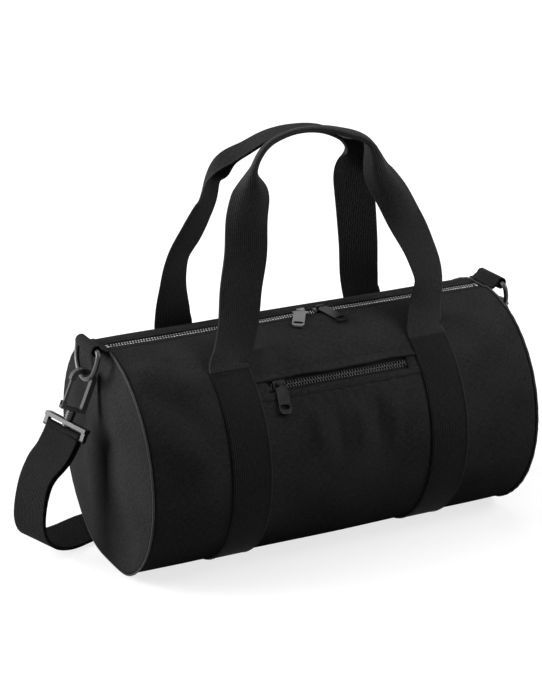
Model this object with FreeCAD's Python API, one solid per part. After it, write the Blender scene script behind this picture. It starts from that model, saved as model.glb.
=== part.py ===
"""Barrel bag: a zipped canvas barrel with webbing handles, a front zip pocket and a clip-on shoulder strap.

X runs along the barrel, -Y is the front with the pocket, Z is up and z = 0 is the surface that it stands on.
"""

import FreeCAD
import Part

import math
import os

from FreeCAD import Placement, Rotation, Vector

# Barrel, mm
barrel_radius = 105.0
barrel_length = 380.0
base_flat_width = 60.0
panel_thickness = 1.4
end_bulge = 8.0
binding_width = 8.0
binding_thickness = 2.4

# Webbing of the bands, handles and strap
webbing_width = 38.0
webbing_thickness = 1.8
band_offset = 98.0
handle_leave_angle = 53.5
handle_hem_gap = 1.0
grip_thickness = 4.2
grip_depth = 19.0

# Zips, the same section on the top and on the pocket
zip_window = 16.0
tape_reach = 15.0
tape_thickness = 0.9
tooth_gap = 1.2
tooth_depth = 2.5
tooth_height = 3.0
tooth_pitch = 4.0
tooth_length = 2.6
main_chain_margin = 6.0
stop_length = 3.0
slider_length = 12.0
slider_width = 9.6
slider_plate = 1.2
slider_lip = 0.75
slider_post_length = 4.0
pin_radius = 0.7
knuckle_radius = 1.7
knuckle_length = 4.0
lug_thickness = 1.3
main_pull_length = 35.0
pull_width = 11.0
pull_neck = 2.6
pull_thickness = 1.6
pull_hole_length = 9.0
pull_hole_width = 4.5
pull_hole_inset = 4.2
main_pull_rest_angle = 7.5
main_slider_left_x = 2.0
main_slider_right_x = 22.0
main_pull_left_yaw = -30.0
main_pull_right_yaw = 13.0

# Front pocket
pocket_angle = 42.0
pocket_side_gap = 1.0
pocket_depth = 9.0
pocket_top_angle = 62.0
pocket_bottom_angle = -35.0
lining_thickness = 1.0
pocket_tab_length = 11.5
welt_width = 5.0
welt_thickness = 0.5
pocket_slider_inset = 9.0
pocket_pull_yaw = -6.0
pocket_pull_length = 28.0
pocket_pull_rest_angle = 4.0

# D-rings and their tabs
ring_rod_radius = 2.2
ring_corner_radius = 5.0
ring_rest_tilt = 12.0
tab_overlap = 2.0
tab_reach = 13.0

# Snap hooks, measured from the middle of the ring rod in the eye
eye_half_width = 7.5
crown_flat = 2.7
hook_wall = 4.5
hook_thickness = 5.5
crown_clearance = 1.0
eye_depth = 27.8
hook_foot = 3.0
nose_length = 2.7
collar_length = 9.0
collar_radius = 4.5
collar_ridges = 4
ridge_depth = 0.7
swivel_pin_radius = 2.2
swivel_head_radius = 4.0
swivel_head_thickness = 1.5
gate_thickness = 2.2
gate_width = 2.9
cheek_thickness = 1.0
cheek_height = 3.5
gate_pin_radius = 0.6
gate_knuckle_radius = 1.5
hook_lean = 23.4
base_bar_thickness = 3.6
base_arm = 3.8
base_arm_depth = 5.2
base_top_depth = 8.0
base_rod_radius = 2.2
base_rod_drop = 6.5
base_turn = 28.0

# Shoulder strap and its adjuster
adjuster_x = -58.0
adjuster_span = 22.0
adjuster_bar = 3.6
adjuster_side = 3.4
adjuster_rod_radius = 1.3
adjuster_lift = 3.2
strap_tail = 45.0

# Clearances
layer_gap = 0.1
run_gap = 0.3
slot_gap = 0.7

flat_z = webbing_thickness + layer_gap
axis_z = flat_z + math.sqrt(barrel_radius**2 - (base_flat_width / 2) ** 2)
inner_radius = barrel_radius - panel_thickness
half_length = barrel_length / 2
half_web = webbing_width / 2


def box(x0, x1, y0, y1, z0, z1):
    """A box between two corners."""
    return Part.makeBox(x1 - x0, y1 - y0, z1 - z0, Vector(x0, y0, z0))


def cylinder(radius, start, end):
    """A round bar from one point to another."""
    return Part.makeCylinder(radius, (end - start).Length, start, end - start)


def barrel_prism(offset, x0, x1):
    """The barrel's section, a circle cut flat underneath, grown by an offset and run along X."""
    radius = barrel_radius + offset
    floor = flat_z - offset
    half = math.sqrt(radius**2 - (axis_z - floor) ** 2)
    left = Vector(x0, -half, floor)
    right = Vector(x0, half, floor)
    crown = Vector(x0, 0, axis_z + radius)
    edges = [Part.Arc(right, crown, left).toShape(), Part.LineSegment(left, right).toShape()]
    return Part.Face(Part.Wire(edges)).extrude(Vector(x1 - x0, 0, 0))


def on_barrel(x, radius, angle):
    """A point at a radius from the barrel's axis; 0 degrees is the front and 90 the top."""
    turn = math.radians(angle)
    return Vector(x, -radius * math.cos(turn), axis_z + radius * math.sin(turn))


def sector(r0, r1, a0, a1, x0, x1):
    """A ring sector about the barrel's axis, between two radii and two angles."""
    mid = (a0 + a1) / 2
    inner = Part.Arc(on_barrel(x0, r0, a0), on_barrel(x0, r0, mid), on_barrel(x0, r0, a1)).toShape()
    outer = Part.Arc(on_barrel(x0, r1, a0), on_barrel(x0, r1, mid), on_barrel(x0, r1, a1)).toShape()
    foot = Part.LineSegment(on_barrel(x0, r0, a0), on_barrel(x0, r1, a0)).toShape()
    head = Part.LineSegment(on_barrel(x0, r0, a1), on_barrel(x0, r1, a1)).toShape()
    return Part.Face(Part.Wire([inner, head, outer, foot])).extrude(Vector(x1 - x0, 0, 0))


def turned(shape, angle):
    """A piece built at the top of the barrel, turned about the barrel's axis to another angle."""
    moved = shape.copy()
    moved.rotate(Vector(0, 0, axis_z), Vector(1, 0, 0), 90 - angle)
    return moved


def mirrored(shape):
    """The same piece at the other end of the bag."""
    return shape.mirror(Vector(0, 0, 0), Vector(1, 0, 0))


# Zip section, heights from the barrel's axis at the top
tape_top = math.sqrt(inner_radius**2 - tape_reach**2) - layer_gap
tape_mid = axis_z + tape_top - tape_thickness / 2
tooth_inner = tooth_gap / 2
tooth_outer = tooth_inner + tooth_depth
slider_inner = tooth_height / 2 + run_gap
slider_outer = slider_inner + slider_plate
pin_height = tape_mid + slider_outer + knuckle_radius + run_gap
chain_half = half_length - main_chain_margin
pocket_half = band_offset - half_web - pocket_side_gap
pocket_chain_half = pocket_half - pocket_tab_length


def zip_tape(x0, x1, side):
    """One tape, from the teeth out under the panel."""
    low, high = sorted((side * (tooth_outer + layer_gap), side * tape_reach))
    return box(x0, x1, low, high, tape_mid - tape_thickness / 2, tape_mid + tape_thickness / 2)


def zip_teeth(x0, x1, side):
    """One row of teeth on its cord, as a comb."""
    spine = tooth_outer - tooth_depth / 2.5
    count = int((x1 - x0) / tooth_pitch)
    start = (x0 + x1 - count * tooth_pitch) / 2
    points = [Vector(start, side * tooth_outer, 0), Vector(start, side * spine, 0)]
    for index in range(count):
        left = start + index * tooth_pitch + (tooth_pitch - tooth_length) / 2
        right = left + tooth_length
        points.append(Vector(left, side * spine, 0))
        points.append(Vector(left, side * tooth_inner, 0))
        points.append(Vector(right, side * tooth_inner, 0))
        points.append(Vector(right, side * spine, 0))
    end = start + count * tooth_pitch
    points.append(Vector(end, side * spine, 0))
    points.append(Vector(end, side * tooth_outer, 0))
    points.append(points[0])
    comb = Part.Face(Part.makePolygon(points)).extrude(Vector(0, 0, tooth_height))
    comb.translate(Vector(0, 0, tape_mid - tooth_height / 2))
    return comb


def zip_stops(x_low, x_high):
    """The stop at each end of a chain."""
    bars = []
    for x0 in (x_low - stop_length - layer_gap, x_high + layer_gap):
        low = tape_mid - tooth_height / 2
        high = tape_mid + tooth_height / 2
        bars.append(box(x0, x0 + stop_length, -tooth_outer, tooth_outer, low, high))
    return Part.makeCompound(bars)


def zip_slider(x):
    """A slider: two plates joined by a post between the rows, lips round the teeth and lugs with a pin."""
    half = slider_width / 2
    post = tooth_inner - run_gap
    lip_inner = half - slider_lip
    lip_end = tape_thickness / 2 + run_gap
    body = box(-slider_post_length / 2, slider_post_length / 2, -post, post, -slider_inner, slider_inner)
    for side in (-1, 1):
        low, high = sorted((side * slider_inner, side * slider_outer))
        body = body.fuse(box(-slider_length / 2, slider_length / 2, -half, half, low, high))
        near, far = sorted((side * lip_end, side * slider_inner))
        for edge in (-1, 1):
            y0, y1 = sorted((edge * lip_inner, edge * half))
            body = body.fuse(box(-slider_length / 2, slider_length / 2, y0, y1, near, far))
    pin_z = pin_height - tape_mid
    lug_in = knuckle_length / 2 + run_gap
    for side in (-1, 1):
        x0, x1 = sorted((side * lug_in, side * (lug_in + lug_thickness)))
        lug = box(x0, x1, -knuckle_radius, knuckle_radius, slider_outer, pin_z)
        lug = lug.fuse(cylinder(knuckle_radius, Vector(x0, 0, pin_z), Vector(x1, 0, pin_z)))
        body = body.fuse(lug)
    reach = lug_in + lug_thickness
    body = body.fuse(cylinder(pin_radius, Vector(-reach, 0, pin_z), Vector(reach, 0, pin_z)))
    body = body.removeSplitter()
    body.translate(Vector(x, 0, tape_mid))
    return body


def zip_pull(x, yaw, length, rest_angle):
    """A pull hinged on the slider's pin, lying down towards the front, with a slot near its tip."""
    half = pull_thickness / 2
    tip = -length
    plate = box(-pull_width / 2, pull_width / 2, tip, -pull_neck, -half, half)
    plate = plate.makeFillet(pull_width * 0.3, [e for e in plate.Edges if e.BoundBox.ZLength > half])
    hole_y = tip + pull_hole_inset
    slot = box(-pull_hole_length / 2, pull_hole_length / 2, hole_y, hole_y + pull_hole_width, -2, 2)
    slot = slot.makeFillet(pull_hole_width * 0.45, [e for e in slot.Edges if e.BoundBox.ZLength > 2])
    plate = plate.cut(slot)
    plate.rotate(Vector(0, 0, 0), Vector(0, 0, 1), yaw)
    reach = knuckle_length / 2
    shoulder = knuckle_radius + 2 * run_gap
    plate = plate.cut(box(-pull_width, pull_width, -shoulder, pull_width, -2, 2))
    knuckle = cylinder(knuckle_radius, Vector(-reach, 0, 0), Vector(reach, 0, 0))
    link = box(-reach, reach, -shoulder - pull_neck, 0, -half, half)
    bore = cylinder(pin_radius + run_gap, Vector(-pull_width, 0, 0), Vector(pull_width, 0, 0))
    pull = plate.fuse(link).fuse(knuckle).cut(bore).removeSplitter()
    pull.rotate(Vector(0, 0, 0), Vector(1, 0, 0), rest_angle)
    pull.translate(Vector(x, 0, pin_height))
    return pull


def main_pull(x, yaw):
    """A main zip pull on its slider."""
    return zip_pull(x, yaw, main_pull_length, main_pull_rest_angle)


def make_pocket_pull(x):
    """The shorter pull of the pocket zip, at rest on the lower folded edge."""
    pull = zip_pull(x, pocket_pull_yaw, pocket_pull_length, pocket_pull_rest_angle)
    return turned(pull, pocket_angle)


def make_main_panel():
    """The barrel's wall, open along the top for the main zip and at the pocket for its zip."""
    wall = barrel_prism(0, -half_length, half_length)
    wall = wall.cut(barrel_prism(-panel_thickness, -half_length, half_length))
    high = axis_z + barrel_radius + 1
    half = zip_window / 2
    wall = wall.cut(box(-half_length, half_length, -half, half, axis_z, high))
    return wall.cut(turned(box(-pocket_half, pocket_half, -half, half, axis_z, high), pocket_angle))


def make_end_panel():
    """The right end: a shallow dome sewn to the rim of the wall."""
    sphere = (barrel_radius**2 + end_bulge**2) / (2 * end_bulge)

    def dome(radius, lift):
        sag = sphere - math.sqrt(sphere**2 - radius**2)
        return Vector(half_length + end_bulge - sag + lift, 0, axis_z + radius)

    inner = Part.Arc(dome(0, 0), dome(barrel_radius / 2, 0), dome(barrel_radius, 0)).toShape()
    outer = Part.Arc(
        dome(barrel_radius, panel_thickness),
        dome(barrel_radius / 2, panel_thickness),
        dome(0, panel_thickness),
    ).toShape()
    rim = Part.LineSegment(dome(barrel_radius, 0), dome(barrel_radius, panel_thickness)).toShape()
    hub = Part.LineSegment(dome(0, panel_thickness), dome(0, 0)).toShape()
    skin = Part.Face(Part.Wire([inner, rim, outer, hub]))
    skin = skin.revolve(Vector(0, 0, axis_z), Vector(1, 0, 0), 360)
    reach = barrel_radius * 2
    return skin.cut(box(0, barrel_length, -reach, reach, flat_z - reach, flat_z))


def make_binding():
    """The bound seam inside the right end, open at the top where the zip's tapes pass."""
    outer = -panel_thickness - layer_gap
    x0 = half_length - binding_width
    ring = barrel_prism(outer, x0, half_length)
    ring = ring.cut(barrel_prism(outer - binding_thickness, x0, half_length))
    half = tape_reach + layer_gap
    return ring.cut(box(x0, half_length, -half, half, axis_z, axis_z + barrel_radius))


def make_pocket_lining():
    """The pocket's bag, a shallow tray sewn to the inside of the wall."""
    rim = inner_radius - layer_gap
    floor = rim - pocket_depth
    side = math.degrees(lining_thickness / rim)
    half = pocket_half + 2 * lining_thickness
    tray = sector(floor, rim, pocket_bottom_angle, pocket_top_angle, -half, half)
    inside = half - lining_thickness
    hollow = sector(
        floor + lining_thickness,
        rim + 1,
        pocket_bottom_angle + side,
        pocket_top_angle - side,
        -inside,
        inside,
    )
    return tray.cut(hollow)


def make_welt(side):
    """A folded fabric edge along one side of the pocket zip, from band to band."""
    low = barrel_radius + layer_gap
    near = math.degrees(math.asin(zip_window / 2 / low))
    far = near + math.degrees(welt_width / low)
    a0, a1 = sorted((pocket_angle + side * near, pocket_angle + side * far))
    return sector(low, low + welt_thickness, a0, a1, -pocket_half, pocket_half)


def make_pocket_tab(side):
    """The fabric tab over one end of the pocket zip."""
    half = zip_window / 2 - layer_gap
    near = pocket_chain_half + stop_length + 2 * layer_gap
    x0, x1 = sorted((side * near, side * (pocket_half - layer_gap)))
    low = tape_mid + tape_thickness / 2 + layer_gap
    high = axis_z + math.sqrt(barrel_radius**2 - half**2)
    return turned(box(x0, x1, -half, half, low, high), pocket_angle)


def make_band(x):
    """A webbing band round the barrel, from one handle's foot under the bag to the other's."""
    x0 = x - half_web
    x1 = x + half_web
    loop = barrel_prism(layer_gap + webbing_thickness, x0, x1).cut(barrel_prism(layer_gap, x0, x1))
    end = handle_leave_angle - math.degrees((webbing_thickness / 2 + handle_hem_gap) / barrel_radius)
    return loop.cut(sector(barrel_radius / 4, barrel_radius * 3, end, 180 - end, x0, x1))


hinge_radius = barrel_radius + layer_gap + webbing_thickness / 2 + run_gap - layer_gap
hinge = on_barrel(0, hinge_radius, handle_leave_angle)

# Handles: outward from the band line, in from the foot and up from it, then the webbing's turn, and how far
# it is folded along its middle: 0 is flat, 1 is folded double; the back one is listed as seen from behind
front_left_leg = [
    (-7.6, 11.9, 9.6, 0, 0),
    (-18.2, 20.6, 32.2, 6, 0),
    (-24.5, 26.4, 63.2, 12, 0),
    (-31.7, 30.4, 93.0, 17, 0),
    (-35.2, 33.4, 124.2, 21, 0.06),
    (-41.6, 37.0, 145.4, 22, 0.2),
    (-45.7, 41.3, 163.2, 23, 1),
    (-58.9, 45.4, 180.7, 22, 1),
    (-80.7, 48.3, 189.5, 17, 1),
]
front_right_leg = [
    (6.2, 15.8, 16.9, -4, 0),
    (14.5, 23.9, 47.7, -21, 0),
    (7.1, 28.2, 75.3, -20, 0),
    (-3.6, 31.1, 99.0, -14, 0),
    (-15.3, 33.4, 123.8, -3, 0.2),
    (-27.6, 36.8, 144.6, 7, 0.4),
    (-37.2, 44.2, 175.7, 12, 1),
    (-60.5, 47.0, 186.0, 5, 1),
    (-87.1, 48.9, 191.3, -6, 1),
]
back_left_leg = [
    (-6.3, 12.0, 9.8, 0, 0),
    (-13.2, 20.7, 32.7, 9, 0),
    (-17.1, 26.7, 65.2, 10, 0),
    (-21.2, 30.8, 95.9, 13, 0),
    (-26.9, 35.4, 137.5, 15, 0),
    (-30.7, 41.2, 162.9, 13, 0.6),
    (-42.0, 43.1, 170.9, 10, 1),
    (-65.5, 45.8, 182.2, 6, 1),
    (-87.6, 46.8, 185.4, 5, 1),
]
back_right_leg = [
    (5.5, 15.2, 15.8, -3, 0),
    (8.0, 24.0, 48.3, -27, 0),
    (3.4, 28.5, 77.7, -35, 0),
    (-10.1, 31.3, 100.8, -32, 0),
    (-22.6, 33.6, 125.6, -38, 0),
    (-27.2, 37.5, 147.9, -43, 0.1),
    (-40.1, 41.4, 163.8, -28, 1),
    (-58.5, 43.6, 172.9, -13, 1),
    (-80.6, 45.8, 182.4, -7, 1),
]


def make_handle(left_leg, right_leg):
    """A handle at the front: two flat legs that fold double into an arched grip."""
    foot_dir = Vector(0, math.sin(math.radians(handle_leave_angle)), math.cos(math.radians(handle_leave_angle)))
    stations = [(hinge + Vector(-band_offset, 0, 0), 0, 0)]
    for dx, dy, dz, turn, fold in left_leg:
        stations.append((hinge + Vector(-band_offset - dx, dy, dz), -turn, fold))
    for dx, dy, dz, turn, fold in reversed(right_leg):
        stations.append((hinge + Vector(band_offset + dx, dy, dz), turn, fold))
    stations.append((hinge + Vector(band_offset, 0, 0), 0, 0))
    wires = []
    last = len(stations) - 1
    for index, (point, turn, fold) in enumerate(stations):
        if index == 0:
            along = foot_dir
        elif index == last:
            along = foot_dir * -1
        else:
            along = stations[index + 1][0] - stations[index - 1][0]
            if index in (1, last - 1):
                along.x = 0
            along.normalize()
        across = Vector(0, 1, 0) - along * along.y
        across = Rotation(along, turn).multVec(across.normalize())
        if index in (0, last):
            across = foot_dir.cross(Vector(1, 0, 0))
        width_dir = along.cross(across).normalize()
        wide = webbing_width + (grip_thickness - webbing_width) * fold
        deep = webbing_thickness + (grip_depth - webbing_thickness) * fold
        corners = []
        for u, v in ((-1, -1), (1, -1), (1, 1), (-1, 1)):
            corners.append(point + width_dir * (u * wide / 2) + across * (v * deep / 2))
        wires.append(Part.makePolygon(corners + corners[:1]))
    ribbon = Part.makeLoft(wires, True, True)
    for side in (-1, 1):
        start = hinge + Vector(side * band_offset - half_web, 0, 0)
        roll = cylinder(webbing_thickness / 2, start, start + Vector(webbing_width, 0, 0))
        ribbon = ribbon.fuse(roll)
    return ribbon


# D-ring: the straight bar in the tab, two corners and a round bow
ring_bar_half = half_web + run_gap
ring_bow = ring_bar_half + ring_corner_radius
ring_drop = ring_corner_radius + ring_bow
ring_bar = Vector(-half_length - tab_reach, 0, axis_z + barrel_radius + layer_gap + webbing_thickness)
ring_lean = math.radians(ring_rest_tilt)
ring_foot = ring_bar + Vector(-math.sin(ring_lean), 0, -math.cos(ring_lean)) * ring_drop


def make_ring():
    """The left D-ring, hanging from its tab."""

    def disc(y, z, normal):
        return Part.Face(Part.Wire(Part.makeCircle(ring_rod_radius, Vector(0, y, z), normal)))

    rod = disc(-ring_bar_half, 0, Vector(0, 1, 0)).extrude(Vector(0, 2 * ring_bar_half, 0))
    low = -ring_corner_radius
    bow = disc(ring_bow, low, Vector(0, 0, -1)).revolve(Vector(0, 0, low), Vector(-1, 0, 0), 180)
    ring = rod.fuse(bow)
    for side in (-1, 1):
        centre = Vector(0, side * ring_bar_half, low)
        corner = disc(side * ring_bar_half, 0, Vector(0, 1, 0)).revolve(centre, Vector(-side, 0, 0), 90)
        ring = ring.fuse(corner)
    ring = ring.removeSplitter()
    ring.rotate(Vector(0, 0, 0), Vector(0, 1, 0), ring_rest_tilt)
    ring.translate(ring_bar)
    return ring


def make_tab():
    """The left webbing tab: folded round the ring's bar and sewn down at the end of the main zip."""
    bore = ring_rod_radius + run_gap
    start = ring_bar - Vector(0, half_web, 0)
    end = ring_bar + Vector(0, half_web, 0)
    loop = cylinder(bore + webbing_thickness, start, end)
    tongue_end = -half_length + tab_overlap
    low = ring_bar.z - webbing_thickness
    high = ring_bar.z + webbing_thickness
    tongue = box(ring_bar.x, tongue_end, -half_web, half_web, low, high)
    return loop.fuse(tongue).cut(cylinder(bore, start, end)).removeSplitter()


# Hook levels along its own axis, from the ring rod's middle down
crown_radius = eye_half_width - crown_flat
crown_centre = ring_rod_radius + crown_clearance - crown_radius
foot_top = -eye_depth
foot_low = foot_top - hook_foot
collar_low = foot_low - collar_length
base_top = collar_low - run_gap
base_low = base_top - base_bar_thickness
rod_level = base_low - base_rod_drop
hook_outer = eye_half_width + hook_wall
gate_x = -eye_half_width - hook_wall / 2
gate_z = foot_top + gate_knuckle_radius + run_gap
nose_low = crown_centre - nose_length
hook_place = Placement(ring_foot, Rotation(Vector(0, 1, 0), hook_lean))
base_place = hook_place.multiply(Placement(Vector(0, 0, 0), Rotation(Vector(0, 0, 1), base_turn)))


def placed(shape, place):
    """A piece built in its own frame, moved to where it belongs."""
    return shape.transformed(place.toMatrix())


def make_hook():
    """The left hook: claw, spine, foot, ridged collar and the swivel pin with its head."""
    half = hook_thickness / 2

    def arch(radius):
        top = box(-crown_flat, crown_flat, -half, half, crown_centre, crown_centre + radius)
        for x in (-crown_flat, crown_flat):
            top = top.fuse(cylinder(radius, Vector(x, -half, crown_centre), Vector(x, half, crown_centre)))
        return top

    crown = arch(crown_radius + hook_wall).cut(arch(crown_radius))
    crown = crown.cut(box(-hook_outer, hook_outer, -half, half, crown_centre - hook_outer, crown_centre))
    spine = box(eye_half_width, hook_outer, -half, half, foot_low, crown_centre)
    nose = box(-hook_outer, -eye_half_width, -half, half, nose_low, crown_centre)
    foot = box(-hook_outer, hook_outer, -half, half, foot_low, foot_top)
    hook = crown.fuse(spine).fuse(nose).fuse(foot)
    for side in (-1, 1):
        y0, y1 = sorted((side * (half - cheek_thickness), side * half))
        hook = hook.fuse(box(-hook_outer, -eye_half_width, y0, y1, foot_top, foot_top + cheek_height))
    hook = hook.fuse(cylinder(gate_pin_radius, Vector(gate_x, -half, gate_z), Vector(gate_x, half, gate_z)))
    ridge = collar_length / (2 * collar_ridges)
    for index in range(2 * collar_ridges):
        radius = collar_radius - ridge_depth * (index % 2)
        top = foot_low - index * ridge
        hook = hook.fuse(cylinder(radius, Vector(0, 0, top), Vector(0, 0, top - ridge)))
    head_top = base_low - run_gap
    hook = hook.fuse(cylinder(swivel_pin_radius, Vector(0, 0, collar_low), Vector(0, 0, head_top)))
    head_low = head_top - swivel_head_thickness
    hook = hook.fuse(cylinder(swivel_head_radius, Vector(0, 0, head_top), Vector(0, 0, head_low)))
    return placed(hook.removeSplitter(), hook_place)


def make_gate():
    """The left hook's gate, hinged between the cheeks and closing on the nose."""
    half = gate_width / 2
    top = nose_low - run_gap
    blade = box(gate_x - gate_thickness / 2, gate_x + gate_thickness / 2, -half, half, gate_z, top)
    blade = blade.fuse(cylinder(gate_knuckle_radius, Vector(gate_x, -half, gate_z), Vector(gate_x, half, gate_z)))
    bore = cylinder(gate_pin_radius + run_gap, Vector(gate_x, -half, gate_z), Vector(gate_x, half, gate_z))
    return placed(blade.cut(bore).removeSplitter(), hook_place)


def make_base():
    """The left hook's swivel base: a bar on the hook's pin and a loop for the strap."""
    inner = half_web + slot_gap
    outer = inner + base_arm
    deep = base_top_depth / 2
    base = box(-deep, deep, -outer, outer, base_low, base_top)
    for side in (-1, 1):
        y0, y1 = sorted((side * inner, side * outer))
        arm = box(-base_arm_depth / 2, base_arm_depth / 2, y0, y1, rod_level, base_top)
        arm = arm.fuse(cylinder(base_arm_depth / 2, Vector(0, y0, rod_level), Vector(0, y1, rod_level)))
        base = base.fuse(arm)
    base = base.fuse(cylinder(base_rod_radius, Vector(0, -inner, rod_level), Vector(0, inner, rod_level)))
    bore = cylinder(swivel_pin_radius + run_gap, Vector(0, 0, base_low), Vector(0, 0, base_top))
    return placed(base.cut(bore).removeSplitter(), base_place)


# Strap route on the left, outward from the end seam, back from the middle and up from the surface, with
# the webbing's width direction; the right side is the same
fold_offset = base_rod_radius + run_gap + webbing_thickness / 2
lay_offset = (webbing_thickness + layer_gap) / 2
lay_z = webbing_thickness + layer_gap / 2
strap_rod = base_place.multVec(Vector(0, 0, rod_level))
strap_down = base_place.Rotation.multVec(Vector(0, 0, -1))
strap_wide = base_place.Rotation.multVec(Vector(0, 1, 0))
strap_lie_y = 92.0
strap_lie_z = 1.85
strap_drop = [
    ((45.4, 1.6, 118.0), (-0.43, 0.88, 0.19)),
    ((63.0, 11.0, 96.0), (-0.3, 0.95, 0.12)),
    ((69.6, 22.6, 47.9), (-0.41, 0.91, 0.11)),
    ((57.9, 38.2, 18.8), (-0.48, 0.86, 0.14)),
    ((30.0, 55.9, 6.9), (-0.43, 0.87, 0.25)),
    ((-5.3, 72.3, 6.9), (-0.31, 0.92, 0.24)),
    ((-38.0, 86.0, 4.6), (-0.16, 0.98, 0.1)),
    ((-85.0, 91.0, strap_lie_z), (0.0, 1.0, 0.0)),
]


def strap_route():
    """The strap's middle line from the left base to the right one, with its width directions."""
    left = [(Vector(-half_length - p[0], p[1], p[2] - strap_lie_z + lay_z), Vector(*w)) for p, w in strap_drop]
    start = (Vector(strap_rod), Vector(strap_wide))
    span = adjuster_span / 2 + adjuster_bar
    middle = []
    for x, lift in ((-span - 20, 0), (-span - 4, adjuster_lift), (span + 4, adjuster_lift), (span + 20, 0)):
        middle.append((Vector(adjuster_x + x, strap_lie_y, lay_z + lift), Vector(0, 1, 0)))
    middle.append((Vector(30, strap_lie_y, lay_z), Vector(0, 1, 0)))
    flip = [(Vector(-p.x, p.y, p.z), Vector(-w.x, w.y, w.z)) for p, w in reversed([start] + left)]
    return [start] + left + middle + flip


def rounded(route):
    """Stations along a route whose corners are turned by tangent arcs: point, direction, width direction."""
    stations = []
    first = (route[1][0] - route[0][0]).normalize()
    stations.append((route[0][0], first, route[0][1]))
    radii = []
    for before, here, after in zip(route, route[1:], route[2:]):
        a = here[0] - before[0]
        b = after[0] - here[0]
        turn = a.getAngle(b)
        run = 0.45 * min(a.Length, b.Length)
        ua = Vector(a).normalize()
        ub = Vector(b).normalize()
        if turn < 0.02:
            stations.append((here[0], ua, here[1]))
            continue
        radius = run / math.tan(turn / 2)
        radii.append(round(radius, 1))
        axis = ua.cross(ub).normalize()
        steps = max(2, int(math.degrees(turn) / 8) + 1)
        begin = here[0] - ua * run
        centre = begin + axis.cross(ua) * radius
        for step in range(steps + 1):
            spin = Rotation(axis, math.degrees(turn) * step / steps)
            share = step / steps
            w0 = before[1] + (here[1] - before[1]) * (1 - run / a.Length)
            w1 = here[1] + (after[1] - here[1]) * (run / b.Length)
            wide = w0 + (w1 - w0) * share
            stations.append((centre + spin.multVec(begin - centre), spin.multVec(ua), wide))
    last = (route[-1][0] - route[-2][0]).normalize()
    stations.append((route[-1][0], last, route[-1][1]))
    return stations, radii


def layer(stations, offsets):
    """A flat layer of webbing along stations, each shifted to one side of the route by an offset."""
    wires = []
    for (point, along, wide), offset in zip(stations, offsets):
        side = Vector(wide) - along * wide.dot(along)
        side.normalize()
        normal = along.cross(side)
        corners = []
        for u, v in ((-1, -1), (1, -1), (1, 1), (-1, 1)):
            shift = offset + v * webbing_thickness / 2
            corners.append(point + side * (u * half_web) + normal * shift)
        wires.append(Part.makePolygon(corners + corners[:1]))
    return Part.makeLoft(wires, True, True)


def eased(stations, near, far, reach):
    """Offsets that go from one value to another along the first stretch of a route."""
    values = []
    travelled = 0.0
    before = stations[0][0]
    for point, along, wide in stations:
        travelled += (point - before).Length
        before = point
        share = min(1.0, travelled / reach)
        share = share * share * (3 - 2 * share)
        values.append(near + (far - near) * share)
    return values


def strap_layers():
    """The long outer layer, the inner return to the adjuster and the tail sewn down on the right."""
    stations, radii = rounded(strap_route())
    stations[0] = (strap_rod + strap_down * layer_gap, strap_down, strap_wide)
    right_down = Vector(-strap_down.x, strap_down.y, strap_down.z)
    right_rod = Vector(-strap_rod.x, strap_rod.y, strap_rod.z)
    right_wide = Vector(-strap_wide.x, strap_wide.y, strap_wide.z)
    stations[-1] = (right_rod + right_down * layer_gap, right_down * -1, right_wide)
    reach = 110.0
    left = eased(stations, fold_offset, lay_offset, reach)
    right = list(reversed(eased(list(reversed(stations)), fold_offset, lay_offset, reach)))
    outer = layer(stations, [-max(a, b) for a, b in zip(left, right)])
    ramp = adjuster_x - adjuster_span / 2 - adjuster_bar
    inner = [s for s in stations if s[0].x < ramp - 8]
    offsets = eased(inner, fold_offset, lay_offset, reach)
    step = layer_gap + webbing_thickness
    along = Vector(1, 0, 0)
    wide = Vector(0, 1, 0)
    level = lay_z + adjuster_lift + lay_offset
    inner.append((Vector(ramp - 4, strap_lie_y, level), along, wide))
    inner.append((Vector(ramp + 4, strap_lie_y, level + step / 2), along, wide))
    offsets += [run_gap, run_gap]
    inner.append((Vector(adjuster_x, strap_lie_y, adjuster_level + adjuster_loop), along, wide))
    offsets.append(0)
    back = layer(inner, offsets)
    start = Vector(adjuster_x, strap_lie_y - half_web, adjuster_level)
    end = Vector(adjuster_x, strap_lie_y + half_web, adjuster_level)
    ring = cylinder(adjuster_loop + webbing_thickness / 2, start, end)
    ring = ring.cut(cylinder(adjuster_loop - webbing_thickness / 2, start, end))
    back = back.fuse(ring)
    tail = [s for s in reversed(stations)]
    tail_stations = []
    gone = 0.0
    before = tail[0][0]
    for point, direction, side in tail:
        gone += (point - before).Length
        before = point
        tail_stations.append((point, direction, side))
        if gone > strap_tail:
            break
    tail_layer = layer(tail_stations, eased(tail_stations, fold_offset, lay_offset, reach))
    length = sum((b[0] - a[0]).Length for a, b in zip(stations, stations[1:]))
    extra = sum((b[0] - a[0]).Length for a, b in zip(inner, inner[1:]))
    print("strap radii, mm:", radii)
    print("strap outer layer %.0f mm, return %.0f mm, tail %.0f mm" % (length, extra, gone))
    print("outer volume over section times length: %.4f" % (outer.Volume / (length * webbing_width * webbing_thickness)))
    return outer, back, tail_layer


adjuster_loop = adjuster_rod_radius + run_gap + webbing_thickness / 2
adjuster_level = lay_z + adjuster_lift - lay_offset + webbing_thickness + run_gap + adjuster_loop


def make_fold():
    """The half turn of webbing over the left base's rod."""
    outer = fold_offset + webbing_thickness / 2
    inner = fold_offset - webbing_thickness / 2
    start = Vector(0, -half_web, rod_level)
    end = Vector(0, half_web, rod_level)
    ring = cylinder(outer, start, end).cut(cylinder(inner, start, end))
    ring = ring.cut(box(-outer, outer, -half_web, half_web, rod_level - outer, rod_level))
    return placed(ring, base_place)


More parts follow.
